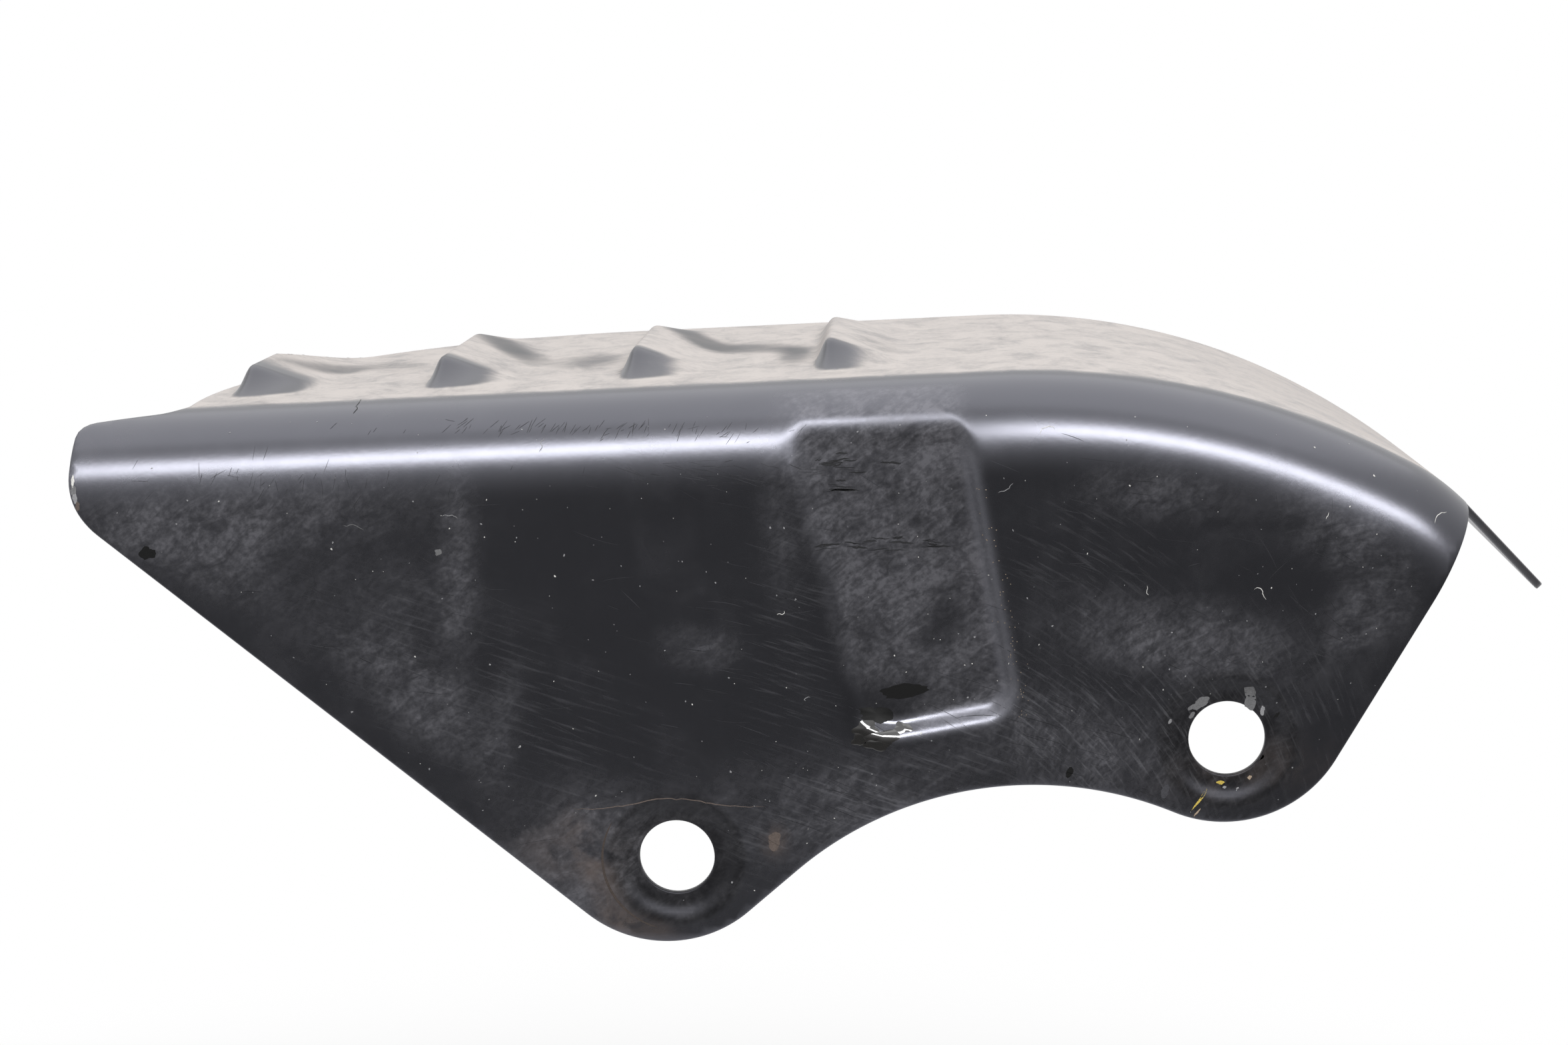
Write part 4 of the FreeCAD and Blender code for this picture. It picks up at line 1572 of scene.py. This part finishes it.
@dataclass(frozen=True)
class WetPaint:
    """Thick glossy paint that ran and dried without dust."""

    dark: tuple[float, float, float, float] = (0.003, 0.003, 0.003, 1.0)
    light: tuple[float, float, float, float] = (0.012, 0.01, 0.009, 1.0)
    roughness: float = 0.1
    ior: float = 1.75
    gloss: float = 0.85

    def material(self) -> bpy.types.Material:
        """Makes the finish's material.

        Returns:
            The material.
        """
        graph = Graph("wet_paint")
        tone = graph.noise(graph.node("ShaderNodeTexCoord").outputs["Object"], 900.0, 3.0)
        graph.feed(graph.shader.inputs["Base Color"], graph.mix(tone, self.dark, self.light))
        graph.shader.inputs["Roughness"].default_value = self.roughness
        graph.shader.inputs["IOR"].default_value = self.ior
        graph.shader.inputs["Specular IOR Level"].default_value = self.gloss
        return graph.material


@dataclass
class PaintRuns:
    """Glossy drops of paint in the pad's lower left corner."""

    shell: GuardShell
    drops: tuple[tuple[float, float, float, float, float], ...] = (
        (22.6, 16.3, 1.5, 1.0, 0.12),
        (24.6, 15.3, 2.2, 0.8, 0.12),
        (26.9, 16.3, 1.1, 0.6, 0.1),
        (23.9, 14.4, 1.7, 0.7, 0.12),
        (21.8, 15.0, 0.9, 0.8, 0.1),
    )
    rings: int = 7
    around: int = 28
    sunk: float = 0.01
    stands_off: float = 0.02

    def build(self) -> bpy.types.Object:
        """Makes the drops as low domes on the sheet.

        Returns:
            The drops' object.
        """
        points: list[np.ndarray] = []
        faces: list[tuple[int, ...]] = []
        around = self.around
        radius = np.repeat(np.linspace(1.0, 0.0, self.rings), around)
        angle = np.tile(np.linspace(0.0, 2.0 * math.pi, around, endpoint=False), self.rings)
        for x, z, long, wide, height in self.drops:
            count = len(points) * self.rings * around
            lumpy = 1.0 + 0.18 * np.sin(3.0 * angle + x) + 0.1 * np.sin(5.0 * angle + z)
            u = x + radius * lumpy * long * np.cos(angle)
            v = z + radius * lumpy * wide * np.sin(angle)
            base, normals = self.shell.surface(self.shell.fold.from_face(np.stack((u, v), axis=1)))
            swell = height * (1.0 - radius**2) - self.sunk
            dome = base + normals * swell[:, None]
            dome[:, 1] = np.maximum(dome[:, 1], self.shell.fold.face_y - self.stands_off)
            points.append(dome)
            for ring in range(self.rings - 1):
                for step in range(around):
                    after = (step + 1) % around
                    a, b = count + ring * around + step, count + ring * around + after
                    faces.append((a, b, b + around, a + around))
        mesh = bpy.data.meshes.new("paint_runs")
        mesh.from_pydata((np.concatenate(points) * MM).tolist(), [], faces)
        mesh.shade_smooth()
        mesh.materials.append(WetPaint().material())
        runs = bpy.data.objects.new("paint_runs", mesh)
        bpy.context.scene.collection.objects.link(runs)
        return runs


@dataclass(frozen=True)
class PaleFloor:
    """A matt pale floor that fades into the white surroundings."""

    colour: tuple[float, float, float, float] = (0.9, 0.9, 0.9, 1.0)
    roughness: float = 0.9
    fade_start: float = 0.1
    fade_end: float = 0.36

    def material(self) -> bpy.types.Material:
        """Makes the finish's material.

        Returns:
            The material.
        """
        graph = Graph("floor")
        graph.shader.inputs["Base Color"].default_value = self.colour
        graph.shader.inputs["Roughness"].default_value = self.roughness
        graph.shader.inputs["Specular IOR Level"].default_value = 0.0
        place = graph.node("ShaderNodeTexCoord").outputs["Object"]
        away = graph.node("ShaderNodeVectorMath", {0: place}, operation="LENGTH").outputs["Value"]
        clear = graph.node("ShaderNodeBsdfTransparent").outputs[0]
        inputs = {0: graph.ramp(away, self.fade_start, self.fade_end), 1: graph.shader.outputs[0], 2: clear}
        fade = graph.node("ShaderNodeMixShader", inputs)
        graph.feed(graph.tree.nodes["Material Output"].inputs["Surface"], fade.outputs[0])
        return graph.material


@dataclass(frozen=True)
class Lamp:
    """A soft lamp in front of or above the guard, its elevation in degrees up from the front."""

    name: str
    elevation: float
    distance: float
    along: float
    size: tuple[float, float]
    radiance: float
    middle: tuple[float, float, float] = (0.02, 0.01, 0.04)

    def build(self) -> None:
        """Hangs the lamp so that it faces the guard's middle, and then shifts it along X."""
        light = bpy.data.lights.new(self.name, "AREA")
        light.shape = "RECTANGLE"
        light.size, light.size_y = self.size
        light.energy = self.radiance * math.pi * self.size[0] * self.size[1]
        lamp = bpy.data.objects.new(self.name, light)
        angle = math.radians(self.elevation)
        away = Vector((0.0, -math.cos(angle), math.sin(angle))) * self.distance
        lamp.location = Vector(self.middle) + away
        lamp.rotation_euler = (Vector(self.middle) - lamp.location).to_track_quat("-Z", "Y").to_euler()
        lamp.location.x += self.along
        bpy.context.scene.collection.objects.link(lamp)


@dataclass(frozen=True)
class Studio:
    """Floor, light and camera."""

    floor_z: float = -0.14
    floor_radius: float = 1.3
    floor_corners: int = 96
    camera: tuple[float, float, float] = (0.025865, -0.329803, 0.106126)
    pitch: float = math.radians(11.1946)
    yaw: float = math.radians(2.26665)
    sensor: float = 36.0
    focal_share: float = 4300.0 / 2353.0
    ambient: float = 0.14
    bright_side: tuple[float, float, float] = (-0.4, 0.56, 0.73)
    lamps: tuple[Lamp, ...] = (
        Lamp("strip_light", 48.5, 0.9, 0.25, (1.4, 0.21), 12.5),
        Lamp("top_light", 113.0, 0.95, 0.05, (1.4, 1.28), 0.7),
    )

    def build(self) -> None:
        """Sets up the floor, the world, the lights and the camera."""
        self._floor()
        self._world()
        for lamp in self.lamps:
            lamp.build()
        self._camera()

    def _floor(self) -> None:
        """Lays the pale floor under the guard."""
        mesh = bpy.data.meshes.new("floor")
        angle = np.linspace(0.0, 2.0 * math.pi, self.floor_corners, endpoint=False)
        rim = np.column_stack((np.cos(angle), np.sin(angle), np.zeros(self.floor_corners)))
        mesh.from_pydata((rim * self.floor_radius).tolist(), [], [tuple(range(self.floor_corners))])
        mesh.materials.append(PaleFloor().material())
        floor = bpy.data.objects.new("floor", mesh)
        floor.location.z = self.floor_z
        bpy.context.scene.collection.objects.link(floor)

    def _world(self) -> None:
        """Makes the surroundings white to the eye and behind in gloss, and dim as a light or in front."""
        world = bpy.data.worlds.new("studio")
        bpy.context.scene.world = world
        world.use_nodes = True
        tree = world.node_tree
        path = tree.nodes.new("ShaderNodeLightPath")
        direction = tree.nodes.new("ShaderNodeTexCoord")
        facing = tree.nodes.new("ShaderNodeVectorMath")
        facing.operation = "DOT_PRODUCT"
        facing.inputs[1].default_value = self.bright_side
        tree.links.new(direction.outputs["Generated"], facing.inputs[0])
        behind = tree.nodes.new("ShaderNodeMapRange")
        behind.interpolation_type = "SMOOTHSTEP"
        behind.inputs["From Min"].default_value = -0.75
        behind.inputs["From Max"].default_value = 0.5
        tree.links.new(facing.outputs["Value"], behind.inputs["Value"])
        bounced = self._step(
            tree, "MAXIMUM", path.outputs["Is Glossy Ray"], path.outputs["Is Transmission Ray"]
        )
        mirrored = self._step(tree, "MULTIPLY", bounced, behind.outputs["Result"])
        seen = self._step(tree, "MAXIMUM", path.outputs["Is Camera Ray"], mirrored)
        level = tree.nodes.new("ShaderNodeMapRange")
        level.inputs["To Min"].default_value = self.ambient
        tree.links.new(seen, level.inputs["Value"])
        background = tree.nodes["Background"]
        background.inputs["Color"].default_value = (1.0, 1.0, 1.0, 1.0)
        tree.links.new(level.outputs["Result"], background.inputs["Strength"])

    @staticmethod
    def _step(
        tree: bpy.types.NodeTree, operation: str, first: bpy.types.NodeSocket, second: bpy.types.NodeSocket
    ) -> bpy.types.NodeSocket:
        """The result of an arithmetic step on two sockets.

        Args:
            tree: the world's nodes.
            operation: the step.
            first: the first socket.
            second: the second socket.

        Returns:
            The socket that holds the result.
        """
        node = tree.nodes.new("ShaderNodeMath")
        node.operation = operation
        tree.links.new(first, node.inputs[0])
        tree.links.new(second, node.inputs[1])
        return node.outputs[0]

    def _camera(self) -> None:
        """Sets the camera at the photograph's viewpoint."""
        data = bpy.data.cameras.new("camera")
        data.lens = self.focal_share * self.sensor
        data.sensor_width = self.sensor
        data.clip_start = 0.01
        camera = bpy.data.objects.new("camera", data)
        camera.location = self.camera
        camera.rotation_euler = (math.pi / 2.0 - self.pitch, 0.0, self.yaw)
        bpy.context.scene.collection.objects.link(camera)
        bpy.context.scene.camera = camera


def main() -> None:
    """Builds the guard, the marks on it and its studio."""
    logging.basicConfig(level=logging.INFO)
    bpy.context.scene.view_settings.view_transform = "Standard"
    guard = GuardShell()
    shell = guard.build()
    shell.data.materials.append(BlackPaint().material())
    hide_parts("sprocket_guard")
    for piece in (shell, SurfaceMarks(guard).build(), PaintRuns(guard).build()):
        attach(piece, "root")
        LOG.info("%s: %d faces", piece.name, len(piece.data.polygons))
    Studio().build()


if __name__ == "__main__":
    main()
